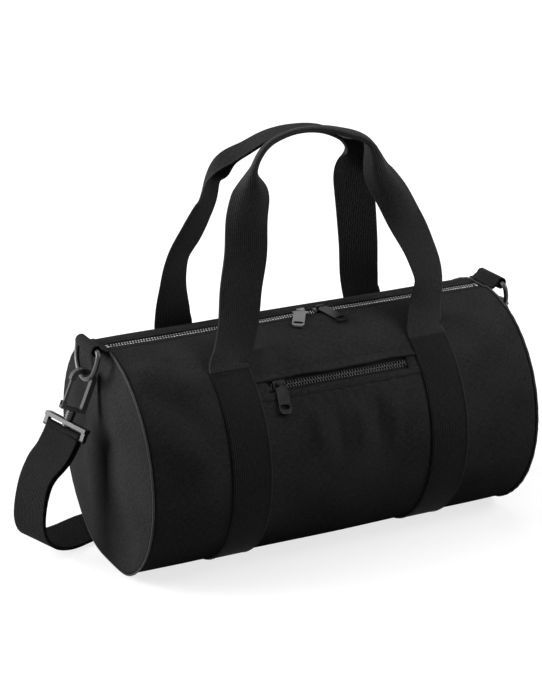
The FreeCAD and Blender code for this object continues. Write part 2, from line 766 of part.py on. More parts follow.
def make_adjuster():
    """The strap's adjuster: a low bar before and after, a raised rod between, and two side frames."""
    span = adjuster_span / 2
    inner = half_web + slot_gap
    outer = inner + adjuster_side
    bar_top = lay_z + adjuster_lift - lay_offset - webbing_thickness / 2 - run_gap
    top = adjuster_level + adjuster_rod_radius
    frame = None
    for side in (-1, 1):
        y0, y1 = sorted((strap_lie_y + side * inner, strap_lie_y + side * outer))
        profile = [
            Vector(adjuster_x - span - adjuster_bar, y0, layer_gap),
            Vector(adjuster_x + span + adjuster_bar, y0, layer_gap),
            Vector(adjuster_x + span + adjuster_bar, y0, bar_top),
            Vector(adjuster_x + adjuster_bar, y0, top),
            Vector(adjuster_x - adjuster_bar, y0, top),
            Vector(adjuster_x - span - adjuster_bar, y0, bar_top),
        ]
        cheek = Part.Face(Part.makePolygon(profile + profile[:1])).extrude(Vector(0, y1 - y0, 0))
        frame = cheek if frame is None else frame.fuse(cheek)
        x0, x1 = sorted((adjuster_x + side * span, adjuster_x + side * (span + adjuster_bar)))
        low_bar = box(x0, x1, strap_lie_y - inner, strap_lie_y + inner, layer_gap, bar_top)
        frame = frame.fuse(low_bar)
    start = Vector(adjuster_x, strap_lie_y - inner, adjuster_level)
    end = Vector(adjuster_x, strap_lie_y + inner, adjuster_level)
    return frame.fuse(cylinder(adjuster_rod_radius, start, end)).removeSplitter()


def build():
    """Every piece by name."""
    top = 90.0
    ends = half_length - layer_gap
    pocket_tape = pocket_half + lining_thickness - run_gap
    pocket_x = -pocket_chain_half + pocket_slider_inset
    pieces = {
        "main_panel": make_main_panel(),
        "end_panel_right": make_end_panel(),
        "seam_binding_right": make_binding(),
        "pocket_lining": make_pocket_lining(),
        "pocket_welt_upper": make_welt(1),
        "pocket_welt_lower": make_welt(-1),
        "pocket_zip_tab_left": make_pocket_tab(-1),
        "pocket_zip_tab_right": make_pocket_tab(1),
        "body_band_left": make_band(-band_offset),
        "body_band_right": make_band(band_offset),
        "handle_front": make_handle(front_left_leg, front_right_leg),
        "d_ring_tab_left": make_tab(),
        "d_ring_left": make_ring(),
        "snap_hook_left": make_hook(),
        "hook_gate_left": make_gate(),
        "hook_base_left": make_base(),
        "strap_fold_left": make_fold(),
        "strap_adjuster": make_adjuster(),
        "main_slider_left": zip_slider(main_slider_left_x),
        "main_slider_right": zip_slider(main_slider_right_x),
        "main_pull_left": main_pull(main_slider_left_x, main_pull_left_yaw),
        "main_pull_right": main_pull(main_slider_right_x, main_pull_right_yaw),
        "pocket_slider": turned(zip_slider(pocket_x), pocket_angle),
        "pocket_pull": make_pocket_pull(pocket_x),
        "main_zip_stops": zip_stops(-chain_half, chain_half),
        "pocket_zip_stops": turned(zip_stops(-pocket_chain_half, pocket_chain_half), pocket_angle),
    }
    for name, side in (("front", -1), ("back", 1)):
        pieces["main_zip_tape_" + name] = turned(zip_tape(-ends, ends, side), top)
        pieces["main_zip_teeth_" + name] = turned(zip_teeth(-chain_half, chain_half, side), top)
    for name, side in (("lower", -1), ("upper", 1)):
        tape = zip_tape(-pocket_tape, pocket_tape, side)
        teeth = zip_teeth(-pocket_chain_half, pocket_chain_half, side)
        pieces["pocket_zip_tape_" + name] = turned(tape, pocket_angle)
        pieces["pocket_zip_teeth_" + name] = turned(teeth, pocket_angle)
    outer, back, tail = strap_layers()
    pieces["strap_webbing"] = outer
    pieces["strap_return"] = back
    pieces["strap_tail"] = tail
    pieces["end_panel_left"] = mirrored(pieces["end_panel_right"])
    pieces["seam_binding_left"] = mirrored(pieces["seam_binding_right"])
    for name in ("d_ring_tab", "d_ring", "snap_hook", "hook_gate", "hook_base", "strap_fold"):
        pieces[name + "_right"] = mirrored(pieces[name + "_left"])
    back_handle = make_handle(back_left_leg, back_right_leg)
    back_handle.rotate(Vector(0, 0, 0), Vector(0, 0, 1), 180)
    pieces["handle_back"] = back_handle
    return pieces


def main():
    """Write each piece to its own file."""
    os.makedirs("parts", exist_ok=True)
    for name, shape in sorted(build().items()):
        solids = len(shape.Solids)
        print("%-24s solids %d valid %s volume %.1f" % (name, solids, shape.isValid(), shape.Volume))
        shape.exportStep("parts/%s.step" % name)
    pivots = {
        "handle_front": hinge,
        "main_pull": Vector(0, 0, pin_height),
        "pocket_pull": on_barrel(0, pin_height - axis_z, pocket_angle),
        "d_ring_left": ring_bar,
        "snap_hook_left": ring_foot,
        "hook_axis_left": hook_place.Rotation.multVec(Vector(0, 0, 1)),
        "hook_gate_left": hook_place.multVec(Vector(gate_x, 0, gate_z)),
        "strap_rod_left": strap_rod,
        "strap_down": strap_down,
        "strap_wide": strap_wide,
        "chain_half": Vector(chain_half, pocket_chain_half, pocket_half),
        "barrel_axis": Vector(0, 0, axis_z),
    }
    for name, point in pivots.items():
        print("pivot %-16s %9.4f %9.4f %9.4f" % (name, point.x, point.y, point.z))


main()
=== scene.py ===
"""Looks of a black barrel bag: canvas barrel, webbing bands and handles, zips, hooks and a shoulder strap.

Sizes are in metres. X runs along the barrel, -Y is the front with the pocket, and Z is up from the floor.
"""

import logging
import math
from contextlib import contextmanager
from dataclasses import dataclass, replace
from enum import Enum
from typing import Iterator, Optional, Sequence

import bmesh
import bpy
import numpy as np
from mathutils import Matrix, Vector


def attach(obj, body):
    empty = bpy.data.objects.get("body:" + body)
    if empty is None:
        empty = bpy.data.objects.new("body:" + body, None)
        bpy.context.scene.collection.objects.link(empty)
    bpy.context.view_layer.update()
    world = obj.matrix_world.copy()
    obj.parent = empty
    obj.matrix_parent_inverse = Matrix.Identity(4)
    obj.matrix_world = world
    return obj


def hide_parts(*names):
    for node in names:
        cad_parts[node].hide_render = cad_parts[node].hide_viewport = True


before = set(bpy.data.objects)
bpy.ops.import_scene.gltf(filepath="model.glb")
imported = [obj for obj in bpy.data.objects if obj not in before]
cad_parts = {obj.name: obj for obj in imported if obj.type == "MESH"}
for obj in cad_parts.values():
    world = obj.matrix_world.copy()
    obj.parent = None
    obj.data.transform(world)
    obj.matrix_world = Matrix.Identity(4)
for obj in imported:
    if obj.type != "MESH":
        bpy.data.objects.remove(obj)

Array = np.ndarray
Piece = bpy.types.Object
Socket = bpy.types.NodeSocket
Rows = tuple[tuple[float, ...], ...]

LOG = logging.getLogger("barrel_bag")
MM = 0.001
TINY = 1e-12
FULL_TURN = 2 * math.pi
TOP_ANGLE = 90.0
POCKET_ANGLE = 42.0
THREAD_PITCH = 0.0008
WELD = 2e-6
FLAT_ANGLE = math.radians(2)
SHARP_ANGLE = math.radians(35)
X_AXIS = np.array([1.0, 0, 0])
Y_AXIS = np.array([0, 1.0, 0])


class Side(Enum):
    """An end of the bag and its sign along X."""

    LEFT = -1
    RIGHT = 1

    @property
    def word(self) -> str:
        """The word that node names use."""
        return self.name.lower()


class Slot(Enum):
    """The material slots."""

    CANVAS = "canvas"
    TAPE = "zip_tape"
    WEBBING = "webbing"
    METAL = "zip_metal"
    PLASTIC = "hardware_plastic"


# Lines and grids


def smooth(share: Array) -> Array:
    """A smooth step from 0 to 1."""
    t = np.clip(share, 0.0, 1.0)
    return t * t * (3 - 2 * t)


def unit(vectors: Array) -> Array:
    """Rows scaled to length 1."""
    return vectors / np.maximum(np.linalg.norm(vectors, axis=-1, keepdims=True), TINY)


def run_length(points: Array) -> Array:
    """Distance travelled along a row of points, starting at 0."""
    return np.concatenate([[0.0], np.cumsum(np.linalg.norm(np.diff(points, axis=0), axis=1))])


def line_frame(line: Array, sides: Array) -> tuple[Array, Array]:
    """A line's directions, and width directions turned square to them."""
    along = unit(np.gradient(line, axis=0))
    return along, unit(sides - along * (sides * along).sum(1, keepdims=True))


def grid(rows: Array, columns: Array) -> tuple[Array, Array]:
    """Both values at every place of a grid."""
    return np.meshgrid(rows, columns, indexing="ij")


def with_edges(values: Array, edges: Array, clear: float) -> Array:
    """The edges and those values that stay clear of them, in order."""
    apart = np.abs(values[:, None] - edges).min(1)
    return np.sort(np.concatenate([values[apart > clear], edges]))


def curve_points(route: Array, steps: int) -> Array:
    """Read points from a smooth line that has the route's points as its control points.

    Args:
        route: control points, one row each.
        steps: steps for each control point.

    Returns:
        Points along the line.
    """
    curve = bpy.data.curves.new("route", "CURVE")
    curve.dimensions = "3D"
    spline = curve.splines.new("NURBS")
    spline.points.add(len(route) - 1)
    for point, place in zip(spline.points, route):
        point.co = (*place, 1.0)
    spline.order_u = 3
    spline.use_endpoint_u = True
    spline.resolution_u = steps
    holder = bpy.data.objects.new("route", curve)
    mesh = bpy.data.meshes.new_from_object(holder)
    points = np.array([v.co for v in mesh.vertices], float)
    bpy.data.objects.remove(holder)
    bpy.data.curves.remove(curve)
    bpy.data.meshes.remove(mesh)
    return points


def carried(route: Array, values: Array, points: Array, backtrack: float = 0.004) -> Array:
    """Carry values given at a route's control points to points near the route.

    Args:
        route: control points.
        values: a row of values for each control point.
        points: points along the smooth line.
        backtrack: how far back along the route a point may lie from the one before it.

    Returns:
        A row of values for each point.
    """
    legs = run_length(route)
    starts = route[:-1]
    steps = route[1:] - starts
    places = []
    reached = 0.0
    for point in points:
        t = np.clip(((point - starts) * steps).sum(1) / np.maximum((steps * steps).sum(1), TINY), 0, 1)
        at = legs[:-1] + t * np.linalg.norm(steps, axis=1)
        gap = np.linalg.norm(point - starts - t[:, None] * steps, axis=1)
        gap[at < reached - backtrack] += 1.0
        best = int(gap.argmin())
        reached = max(reached, float(at[best]))
        places.append(at[best])
    return np.stack([np.interp(places, legs, column) for column in values.T], -1)


# Meshes


def placed(name: str, data: bpy.types.ID) -> Piece:
    """A new object in the scene.

    Args:
        name: the object's name.
        data: its mesh, lamp or camera.

    Returns:
        The object.
    """
    piece = bpy.data.objects.new(name, data)
    bpy.context.scene.collection.objects.link(piece)
    return piece


@contextmanager
def edited(mesh: bpy.types.Mesh) -> Iterator[bmesh.types.BMesh]:
    """Open a mesh for editing and write it back.

    Args:
        mesh: the mesh to change.

    Yields:
        Its editable form.
    """
    bm = bmesh.new()
    bm.from_mesh(mesh)
    yield bm
    bm.to_mesh(mesh)
    bm.free()


def shade_smooth(mesh: bpy.types.Mesh) -> None:
    """Make every face smooth."""
    mesh.polygons.foreach_set("use_smooth", [True] * len(mesh.polygons))


def build_mesh(name: str, points: Array, faces: Sequence, uvs: Optional[Array] = None) -> Piece:
    """Make a smooth-shaded mesh object.

    Args:
        name: the piece's name.
        points: vertices, in an array with a last axis of 3.
        faces: vertex indices, one sequence for each face.
        uvs: a UV for each corner of each face, in order.

    Returns:
        The new object, linked to the scene.
    """
    mesh = bpy.data.meshes.new(name)
    mesh.from_pydata(points.reshape(-1, 3).tolist(), [], [list(map(int, f)) for f in faces])
    if uvs is not None:
        layer = mesh.uv_layers.new(name="UVMap")
        layer.data.foreach_set("uv", np.asarray(uvs, np.float32).ravel())
    shade_smooth(mesh)
    mesh.update()
    return placed(name, mesh)


def sheet_mesh(name: str, points: Array, uv: Sequence[Array], keep: Optional[Array] = None) -> Piece:
    """Make an open sheet from a grid of points.

    Args:
        name: the piece's name.
        points: a grid of points, rows by columns by 3.
        uv: the grid's two UV values, each rows by columns.
        keep: which of the grid's cells to keep, all of them if None.

    Returns:
        The sheet's object.
    """
    rows, cols = points.shape[:2]
    i, j = grid(np.arange(rows - 1), np.arange(cols - 1))
    quads = np.stack([i * cols + j, (i + 1) * cols + j, (i + 1) * cols + j + 1, i * cols + j + 1], -1)
    quads = quads.reshape(-1, 4) if keep is None else quads[keep]
    uvs = np.stack(uv, -1).reshape(-1, 2)[quads]
    used, quads = np.unique(quads, return_inverse=True)
    return build_mesh(name, points.reshape(-1, 3)[used], quads.reshape(-1, 4), uvs)


def tube_mesh(name: str, points: Array, uv: Sequence[Array]) -> Piece:
    """Join rings of points into a tube that is a loop or has closed ends.

    Args:
        name: the piece's name.
        points: rings by points by 3.
        uv: two UV values for each ring's points and once more for its first point. Where the tube is a
            loop, the first ring comes once more too.

    Returns:
        The tube, with its faces outwards.
    """
    count, ring = points.shape[:2]
    uv = np.stack(uv, -1)
    i, j = grid(np.arange(len(uv) - 1), np.arange(ring))
    i = i[..., None] + (0, 0, 1, 1)
    j = j[..., None] + (0, 1, 1, 0)
    faces = (i % count * ring + j % ring).reshape(-1, 4).tolist()
    uvs = [uv[i, j].reshape(-1, 2)]
    if len(uv) == count:
        faces += [range(ring), range((count - 1) * ring, count * ring)]
        uvs += [uv[0, :-1], uv[-1, :-1]]
    return outward(build_mesh(name, points, faces, np.concatenate(uvs)))


def ribbon_mesh(
    name: str, lines: Sequence[Array], outline: Array, across: Array, loop: bool = False
) -> Piece:
    """Sweep a closed outline along a line.

    Args:
        name: the piece's name.
        lines: the line's points, and the outline's first and second direction at each.
        outline: closed outline, points by 2, or one outline for each point of the line.
        across: the outline's first UV value at each of its points and once more at its start.
        loop: if the line's last point is its first.

    Returns:
        The swept piece.
    """
    centres, sides, normals = lines
    points = centres[:, None] + sides[:, None] * outline[..., :1] + normals[:, None] * outline[..., 1:]
    return tube_mesh(name, points[:-1] if loop else points, np.meshgrid(across, run_length(centres)))


def outward(piece: Piece) -> Piece:
    """Turn a piece's faces outwards.

    Args:
        piece: a piece with one sheet or closed shells.

    Returns:
        The same piece.
    """
    with edited(piece.data) as bm:
        bmesh.ops.recalc_face_normals(bm, faces=bm.faces)
    return piece


def settled(piece: Piece) -> Piece:
    """Turn a piece's modifiers into plain mesh.

    Args:
        piece: an object with modifiers.

    Returns:
        The same object, with the result as its mesh and no modifiers.
    """
    bpy.context.view_layer.update()
    result = bpy.data.meshes.new_from_object(piece.evaluated_get(bpy.context.evaluated_depsgraph_get()))
    result.name = piece.name
    piece.modifiers.clear()
    piece.data = result
    return piece


def modified(piece: Piece, kind: str, **settings: object) -> Piece:
    """Add a modifier with these settings.

    Args:
        piece: the piece.
        kind: the modifier's type.
        settings: its attributes.

    Returns:
        The same piece.
    """
    modifier = piece.modifiers.new(kind.lower(), kind)
    for key, value in settings.items():
        setattr(modifier, key, value)
    return piece


def thickened(piece: Piece, thickness: float, offset: float = 0.0) -> Piece:
    """Turn an open sheet into a shell that grows both ways, or against the normals with an offset of -1."""
    return settled(modified(piece, "SOLIDIFY", thickness=thickness, offset=offset, use_even_offset=True))


# Finishes


class Bench:
    """Builds the nodes of a material or a world."""

    def __init__(self, owner: bpy.types.Material | bpy.types.World) -> None:
        """Clear the owner's nodes.

        Args:
            owner: the material or world.
        """
        self.owner = owner
        owner.use_nodes = True
        self.tree = owner.node_tree
        self.tree.nodes.clear()

    def add(self, kind: str, *values: object, **settings: object) -> bpy.types.Node:
        """Add a node.

        Args:
            kind: the node's type, without its prefix.
            values: sockets or numbers for the node's inputs, in order.
            settings: attributes of the node, or sockets and numbers for the inputs with those names.

        Returns:
            The new node.
        """
        node = self.tree.nodes.new("ShaderNode" + kind)
        pairs = list(zip(node.inputs, values))
        for key, value in settings.items():
            if hasattr(node, key):
                setattr(node, key, value)
            else:
                pairs.append((node.inputs[key.replace("_", " ")], value))
        for socket, value in pairs:
            if isinstance(value, Socket):
                self.tree.links.new(value, socket)
            else:
                socket.default_value = value
        return node

    def out(self, kind: str, *values: object, **settings: object) -> Socket:
        """Add a node and take its first output."""
        return self.add(kind, *values, **settings).outputs[0]

    def sum(self, kind: str, *values: object) -> Socket:
        """Combine sockets or numbers by a math operation."""
        return self.out("Math", *values, operation=kind)

    def step(self, value: Socket, *limits: float) -> Socket:
        """A smooth step between two limits, from 0 to 1 or between two more."""
        return self.out("MapRange", value, *limits, interpolation_type="SMOOTHSTEP")

    def blend(self, share: Socket, *colours: Sequence[float]) -> Socket:
        """A colour between two colours.

        Args:
            share: 0 for the first colour, 1 for the second.
            colours: both colours.

        Returns:
            The colour's socket.
        """
        ramp = self.add("ValToRGB", share)
        for stop, colour in zip(ramp.color_ramp.elements, colours):
            stop.color = (*colour, 1)
        return ramp.outputs["Color"]

    def bump(self, height: Socket, distance: float) -> Socket:
        """Normals from a height that runs from 0 to 1."""
        return self.out("Bump", Height=height, Distance=distance, Strength=1.0)

    def where(self) -> Socket:
        """The place on the object."""
        return self.add("TexCoord").outputs["Object"]

    def axis(self, vector: Socket, axis: str) -> Socket:
        """One axis of a vector."""
        return self.add("SeparateXYZ", vector).outputs[axis]

    def threads(self, value: Socket, pitch: float) -> Socket:
        """A row of round threads along a value, from 0 to 1."""
        return self.sum("ABSOLUTE", self.sum("SINE", self.sum("MULTIPLY", value, math.pi / pitch)))

    def noise(self, where: Socket, scale: float, detail: float) -> Socket:
        """Soft noise at a scale per metre."""
        return self.out("TexNoise", Vector=where, Scale=scale, Detail=detail, Roughness=0.6)

    def seen(self) -> Socket:
        """1 for rays that show a surface and 0 for those that light one.

        Returns:
            The value's socket.
        """
        ray = self.add("LightPath").outputs
        seen = self.sum("MAXIMUM", ray["Is Camera Ray"], ray["Is Glossy Ray"])
        return self.sum("MAXIMUM", seen, ray["Is Transmission Ray"])


@dataclass(frozen=True)
class Finish:
    """A built material and the slot that its pieces belong to."""

    material: bpy.types.Material
    slot: Slot


@dataclass(frozen=True)
class Look:
    """What every finish has: two close tones, a gloss and a relief."""

    name: str
    slot: Slot
    dark: float
    light: float
    roughness: float
    relief: float
    specular: float

    def inputs(self, bench: Bench) -> dict[str, object]:
        """The shader's inputs, by name."""
        raise NotImplementedError

    def finish(self) -> Finish:
        """Build the material.

        Returns:
            The material with its slot.
        """
        bench = Bench(bpy.data.materials.new(self.name))
        shader = bench.out("BsdfPrincipled", Specular_IOR_Level=self.specular, **self.inputs(bench))
        bench.add("OutputMaterial", shader)
        return Finish(bench.owner, self.slot)

    def gloss(self, bench: Bench, share: Socket, less: float, more: float) -> Socket:
        """A roughness that varies about the finish's own."""
        return bench.out("MapRange", share, 0.0, 1.0, self.roughness - less, self.roughness + more)


@dataclass(frozen=True)
class Cloth(Look):
    """A woven cloth with threads along and across its UVs, and a painted highlight along the edge on one
    side.
    """

    sheen: float
    pitch_across: float
    pitch_along: float
    selvedge: float = 1.0
    weave: float = 0.3

    def inputs(self, bench: Bench) -> dict[str, object]:
        """Threads, slubs, fibres, patches and a painted edge highlight as colour, roughness and relief.

        Args:
            bench: the material's bench.

        Returns:
            The shader's inputs, by name.
        """
        uv = bench.out("UVMap", uv_map="UVMap")
        where = bench.where()
        across = bench.axis(uv, "X")
        stretched = [bench.out("Mapping", uv, Scale=way) for way in ((1.0, 0.2, 1.0), (0.2, 1.0, 1.0))]
        slubs = [bench.noise(vector, 1150.0, 1.0) for vector in stretched]
        slub = bench.sum("MULTIPLY", bench.sum("ADD", *slubs), 0.5)
        fibre = bench.noise(where, 2600.0, 1.0)
        patch = bench.noise(where, 16.0, 1.5)
        weft = bench.threads(bench.axis(uv, "Y"), self.pitch_along)
        weave = bench.sum("MULTIPLY", bench.threads(across, self.pitch_across), weft)
        height = bench.sum("MULTIPLY_ADD", slub, 0.8, bench.sum("MULTIPLY_ADD", fibre, 0.4, weave))
        tone = bench.sum("MULTIPLY_ADD", slub, 1.5, bench.sum("MULTIPLY", weave, self.weave))
        tone = bench.sum("MULTIPLY_ADD", patch, 0.6, bench.sum("SUBTRACT", tone, 0.68 + 0.4 * self.weave))
        # Painted highlight: the colour lightens along the one edge of the webbing where light catches it.
        edge = bench.step(across, self.selvedge - 0.0005, self.selvedge + 0.0005)
        tone = bench.sum("MULTIPLY_ADD", edge, 1.1, tone)
        dark = (self.dark, self.dark, self.dark * 1.03)
        light = (self.light, self.light, self.light * 1.02)
        return {
            "Base_Color": bench.blend(tone, dark, light),
            "Roughness": self.gloss(bench, patch, 0.07, 0.07),
            "Normal": bench.bump(height, self.relief),
            "Sheen_Weight": self.sheen,
            "Sheen_Roughness": 0.45,
        }


@dataclass(frozen=True)
class Hard(Look):
    """A moulded or cast finish with fine grain, an uneven gloss and, if set, painted shade along its middle.
    """

    metallic: float
    grain: float
    middle: float = 0.0

    def inputs(self, bench: Bench) -> dict[str, object]:
        """Wear, grain and any painted shade along the middle as colour, roughness and relief.

        Args:
            bench: the material's bench.

        Returns:
            The shader's inputs, by name.
        """
        where = bench.where()
        wear = bench.noise(where, 160.0, 5.0)
        tone = wear
        # Painted shade: the colour darkens towards the middle, where a zip's teeth interlock and shade each
        # other.
        if self.middle:
            away = bench.sum("ABSOLUTE", bench.axis(where, "Y"))
            tone = bench.sum("MULTIPLY", wear, bench.step(away, 0.4 * self.middle, self.middle))
        return {
            "Base_Color": bench.blend(tone, (self.dark,) * 3, (self.light,) * 3),
            "Roughness": self.gloss(bench, wear, 0.08, 0.12),
            "Normal": bench.bump(bench.noise(where, self.grain, 2.0), self.relief),
            "Metallic": self.metallic,
        }


@dataclass(frozen=True)
class Palette:
    """Every finish on the bag."""

    canvas: Finish
    # A paler copy of the canvas, as a painted highlight on the seams.
    seam: Finish
    webbing: Finish
    # A lighter copy of the webbing, as painted light on the handles.
    handle: Finish
    tape: Finish
    thread: Finish
    teeth: Finish
    dark_teeth: Finish
    metal: Finish
    # A lighter copy of the gunmetal, as a painted reflection.
    worn_metal: Finish
    plastic: Finish


# A row has both tones, roughness, relief and specular level, and then a cloth's sheen and weave, or a hard
# finish's metallic share, grain and the width of its painted-shade middle. A weave has both pitches, where
# the painted edge highlight starts, and the contrast.
CANVAS_WEAVE = (THREAD_PITCH, THREAD_PITCH)
WEBBING_WEAVE = (0.0017, 0.0011, 0.0177, 0.9)
LOOKS: tuple[Look, ...] = (
    Cloth("black_canvas", Slot.CANVAS, 0.0119, 0.0424, 0.82, 0.00014, 0.0, 0.0, *CANVAS_WEAVE),
    # A paler copy of the canvas that paints the highlight along the raised seams.
    Cloth("seam_canvas", Slot.CANVAS, 0.030, 0.080, 0.75, 0.00010, 0.05, 0.03, *CANVAS_WEAVE),
    Cloth("black_webbing", Slot.WEBBING, 0.0070, 0.027, 0.58, 0.00016, 0.012, 0.0, *WEBBING_WEAVE),
    # The handles' webbing is a lighter copy of the band webbing, painting the light that falls on the
    # handles.
    Cloth("handle_webbing", Slot.WEBBING, 0.0100, 0.037, 0.58, 0.00016, 0.03, 0.01, *WEBBING_WEAVE),
    Cloth("black_tape", Slot.TAPE, 0.006, 0.022, 0.8, 0.00012, 0.03, 0.02, 0.0006, 0.0009),
    Hard("black_thread", Slot.WEBBING, 0.010, 0.024, 0.7, 0.00005, 0.04, 0.0, 4000.0),
    # The main teeth's last value sets the width of the painted shade along the middle of the chain.
    Hard("bright_teeth", Slot.METAL, 0.02, 0.62, 0.30, 0.00002, 0.5, 1.0, 900.0, 0.0019),
    Hard("dark_teeth", Slot.METAL, 0.015, 0.05, 0.32, 0.00002, 0.5, 1.0, 900.0),
    Hard("gunmetal", Slot.METAL, 0.008, 0.022, 0.30, 0.00003, 0.5, 1.0, 1400.0),
    # A lighter copy of the gunmetal that paints the reflection on the left main slider and pull.
    Hard("worn_gunmetal", Slot.METAL, 0.09, 0.19, 0.32, 0.00003, 0.5, 1.0, 1400.0),
    Hard("black_plastic", Slot.PLASTIC, 0.005, 0.010, 0.36, 0.00002, 0.5, 0.0, 1800.0),
)


def dressed(piece: Piece, finish: Finish, *nodes: str, body: str = "bag") -> Piece:
    """Finish a piece and give it its body.

    Args:
        piece: the piece, at its place.
        finish: its material and slot.
        nodes: solids that it stands for.
        body: the body that it moves with.

    Returns:
        The same piece.
    """
    piece.data.materials.clear()
    piece.data.materials.append(finish.material)
    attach(piece, body)
    if nodes:
        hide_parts(*nodes)
    LOG.info("%s: %d faces on %s", piece.name, len(piece.data.polygons), body)
    return piece


def moulded(node: str, ending: str, width: float, finish: Finish, body: str = "bag") -> Piece:
    """Copy a rigid solid, round its edges and finish it.

    Args:
        node: the solid's name.
        ending: what the new piece's name adds to it.
        width: how far the rounding reaches from each edge.
        finish: the piece's finish.
        body: the body that it moves with.

    Returns:
        The rounded piece.
    """
    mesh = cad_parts[node].data.copy()
    mesh.name = node + ending
    mesh.materials.clear()
    with edited(mesh) as bm:
        bmesh.ops.remove_doubles(bm, verts=bm.verts, dist=WELD)
        bmesh.ops.dissolve_limit(bm, angle_limit=FLAT_ANGLE, verts=bm.verts, edges=bm.edges)
    shade_smooth(mesh)
    piece = placed(node + ending, mesh)
    sharp = {"limit_method": "ANGLE", "angle_limit": SHARP_ANGLE, "miter_outer": "MITER_ARC"}
    modified(piece, "BEVEL", width=width, segments=3, use_clamp_overlap=True, **sharp)
    modified(piece, "WEIGHTED_NORMAL", keep_sharp=True)
    return dressed(settled(piece), finish, node, body=body)


# Repeated pieces


class Repeater:
    """A Geometry Nodes tree that sets a small piece at an even pitch along lines."""

    INPUTS = {"Pitch": "NodeSocketFloat", "Part": "NodeSocketObject", "Finish": "NodeSocketMaterial"}
    NODES = {
        "in": "NodeGroupInput",
        "line": "GeometryNodeMeshToCurve",
        "pitch": "GeometryNodeResampleCurve",
        "along": "GeometryNodeInputTangent",
        "turn": "FunctionNodeAlignRotationToVector",
        "part": "GeometryNodeObjectInfo",
        "set": "GeometryNodeInstanceOnPoints",
        "real": "GeometryNodeRealizeInstances",
        "finish": "GeometryNodeSetMaterial",
        "out": "NodeGroupOutput",
    }
    LINKS = (
        ("in", "Geometry", "line", "Mesh"),
        ("line", "Curve", "pitch", "Curve"),
        ("in", "Pitch", "pitch", "Length"),
        ("pitch", "Curve", "set", "Points"),
        ("along", "Tangent", "turn", "Vector"),
        ("turn", "Rotation", "set", "Rotation"),
        ("in", "Part", "part", "Object"),
        ("part", "Geometry", "set", "Instance"),
        ("set", "Instances", "real", "Geometry"),
        ("real", "Geometry", "finish", "Geometry"),
        ("in", "Finish", "finish", "Material"),
        ("finish", "Geometry", "out", "Geometry"),
    )

    def __init__(self) -> None:
        """Build the tree."""
        self.tree = bpy.data.node_groups.new("set_along_line", "GeometryNodeTree")
        face = self.tree.interface
        face.new_socket("Geometry", in_out="INPUT", socket_type="NodeSocketGeometry")
        self.inputs = {}
        for name, kind in self.INPUTS.items():
            self.inputs[name] = face.new_socket(name, in_out="INPUT", socket_type=kind).identifier
        face.new_socket("Geometry", in_out="OUTPUT", socket_type="NodeSocketGeometry")
        made = {key: self.tree.nodes.new(kind) for key, kind in self.NODES.items()}
        made["pitch"].mode = "LENGTH"
        made["turn"].axis = "X"
        for source, output, target, socket in self.LINKS:
            self.tree.links.new(made[source].outputs[output], made[target].inputs[socket])

    def along(self, name: str, lines: Sequence[Array], part: Piece, pitch: float, finish: Finish) -> Piece:
        """Set a part along lines.

        Args:
            name: the new piece's name.
            lines: rows of points, one for each line.
            part: the small piece, with X along the line.
            pitch: distance from one to the next.
            finish: the finish of all of them.

        Returns:
            One plain mesh with every copy.
        """
        edges = []
        start = 0
        for line in lines:
            edges += [(start + i, start + i + 1) for i in range(len(line) - 1)]
            start += len(line)
        mesh = bpy.data.meshes.new(name)
        mesh.from_pydata(np.concatenate(lines).tolist(), edges, [])
        piece = placed(name, mesh)
        step = piece.modifiers.new("set", "NODES")
        step.node_group = self.tree
        for key, value in (("Pitch", pitch), ("Part", part), ("Finish", finish.material)):
            step[self.inputs[key]] = value
        settled(piece)
        shade_smooth(piece.data)
        return piece


def make_stitch(length: float, radius: float) -> Piece:
    """One stitch: a short bead of thread along X.

    Args:
        length: its whole length.
        radius: half its height.

    Returns:
        The stitch, outside the scene.
    """
    mesh = bpy.data.meshes.new("stitch_part")
    turn = Matrix.Rotation(math.pi / 2, 4, "Y")
    shape = Matrix.Diagonal((length / 2, radius * 1.25, radius, 1))
    with edited(mesh) as bm:
        bmesh.ops.create_uvsphere(bm, u_segments=6, v_segments=5, radius=1.0)
        bmesh.ops.transform(bm, matrix=shape @ turn, verts=bm.verts)
    return bpy.data.objects.new("stitch_part", mesh)


def make_tooth(side: int) -> Piece:
    """One zip tooth: a foot on the tape's edge and a rounded head that reaches over the middle.

    Args:
        side: -1 or 1, the side of the zip that its foot is on.

    Returns:
        The tooth, outside the scene.
    """
    outline = [(-0.62, 3.3), (-0.62, 1.7), (-0.42, 1.15), (-0.62, 0.5), (-0.5, -0.35), (-0.2, -0.6)]
    outline += [(-x, y) for x, y in reversed(outline)]
    height = 2.7
    mesh = bpy.data.meshes.new("tooth_part")
    with edited(mesh) as bm:
        low = [bm.verts.new((x * MM, side * y * MM, -height / 2 * MM)) for x, y in outline]
        grown = bmesh.ops.extrude_face_region(bm, geom=[bm.faces.new(low)])
        top = [v for v in grown["geom"] if isinstance(v, bmesh.types.BMVert)]
        bmesh.ops.translate(bm, verts=top, vec=(0, 0, height * MM))
        bmesh.ops.recalc_face_normals(bm, faces=bm.faces)
        rims = [e for e in bm.edges if abs(e.verts[0].co.z - e.verts[1].co.z) < 1e-6]
        bmesh.ops.bevel(bm, geom=rims, offset=0.3 * MM, segments=2, affect="EDGES", profile=0.5)
    return bpy.data.objects.new("tooth_part", mesh)


# The barrel


@dataclass(frozen=True)
class Crease:
    """A soft fold in the cloth: a line on the barrel from one point to another, in x and degrees."""

    x0: float
    a0: float
    x1: float
    a1: float
    width: float
    depth: float


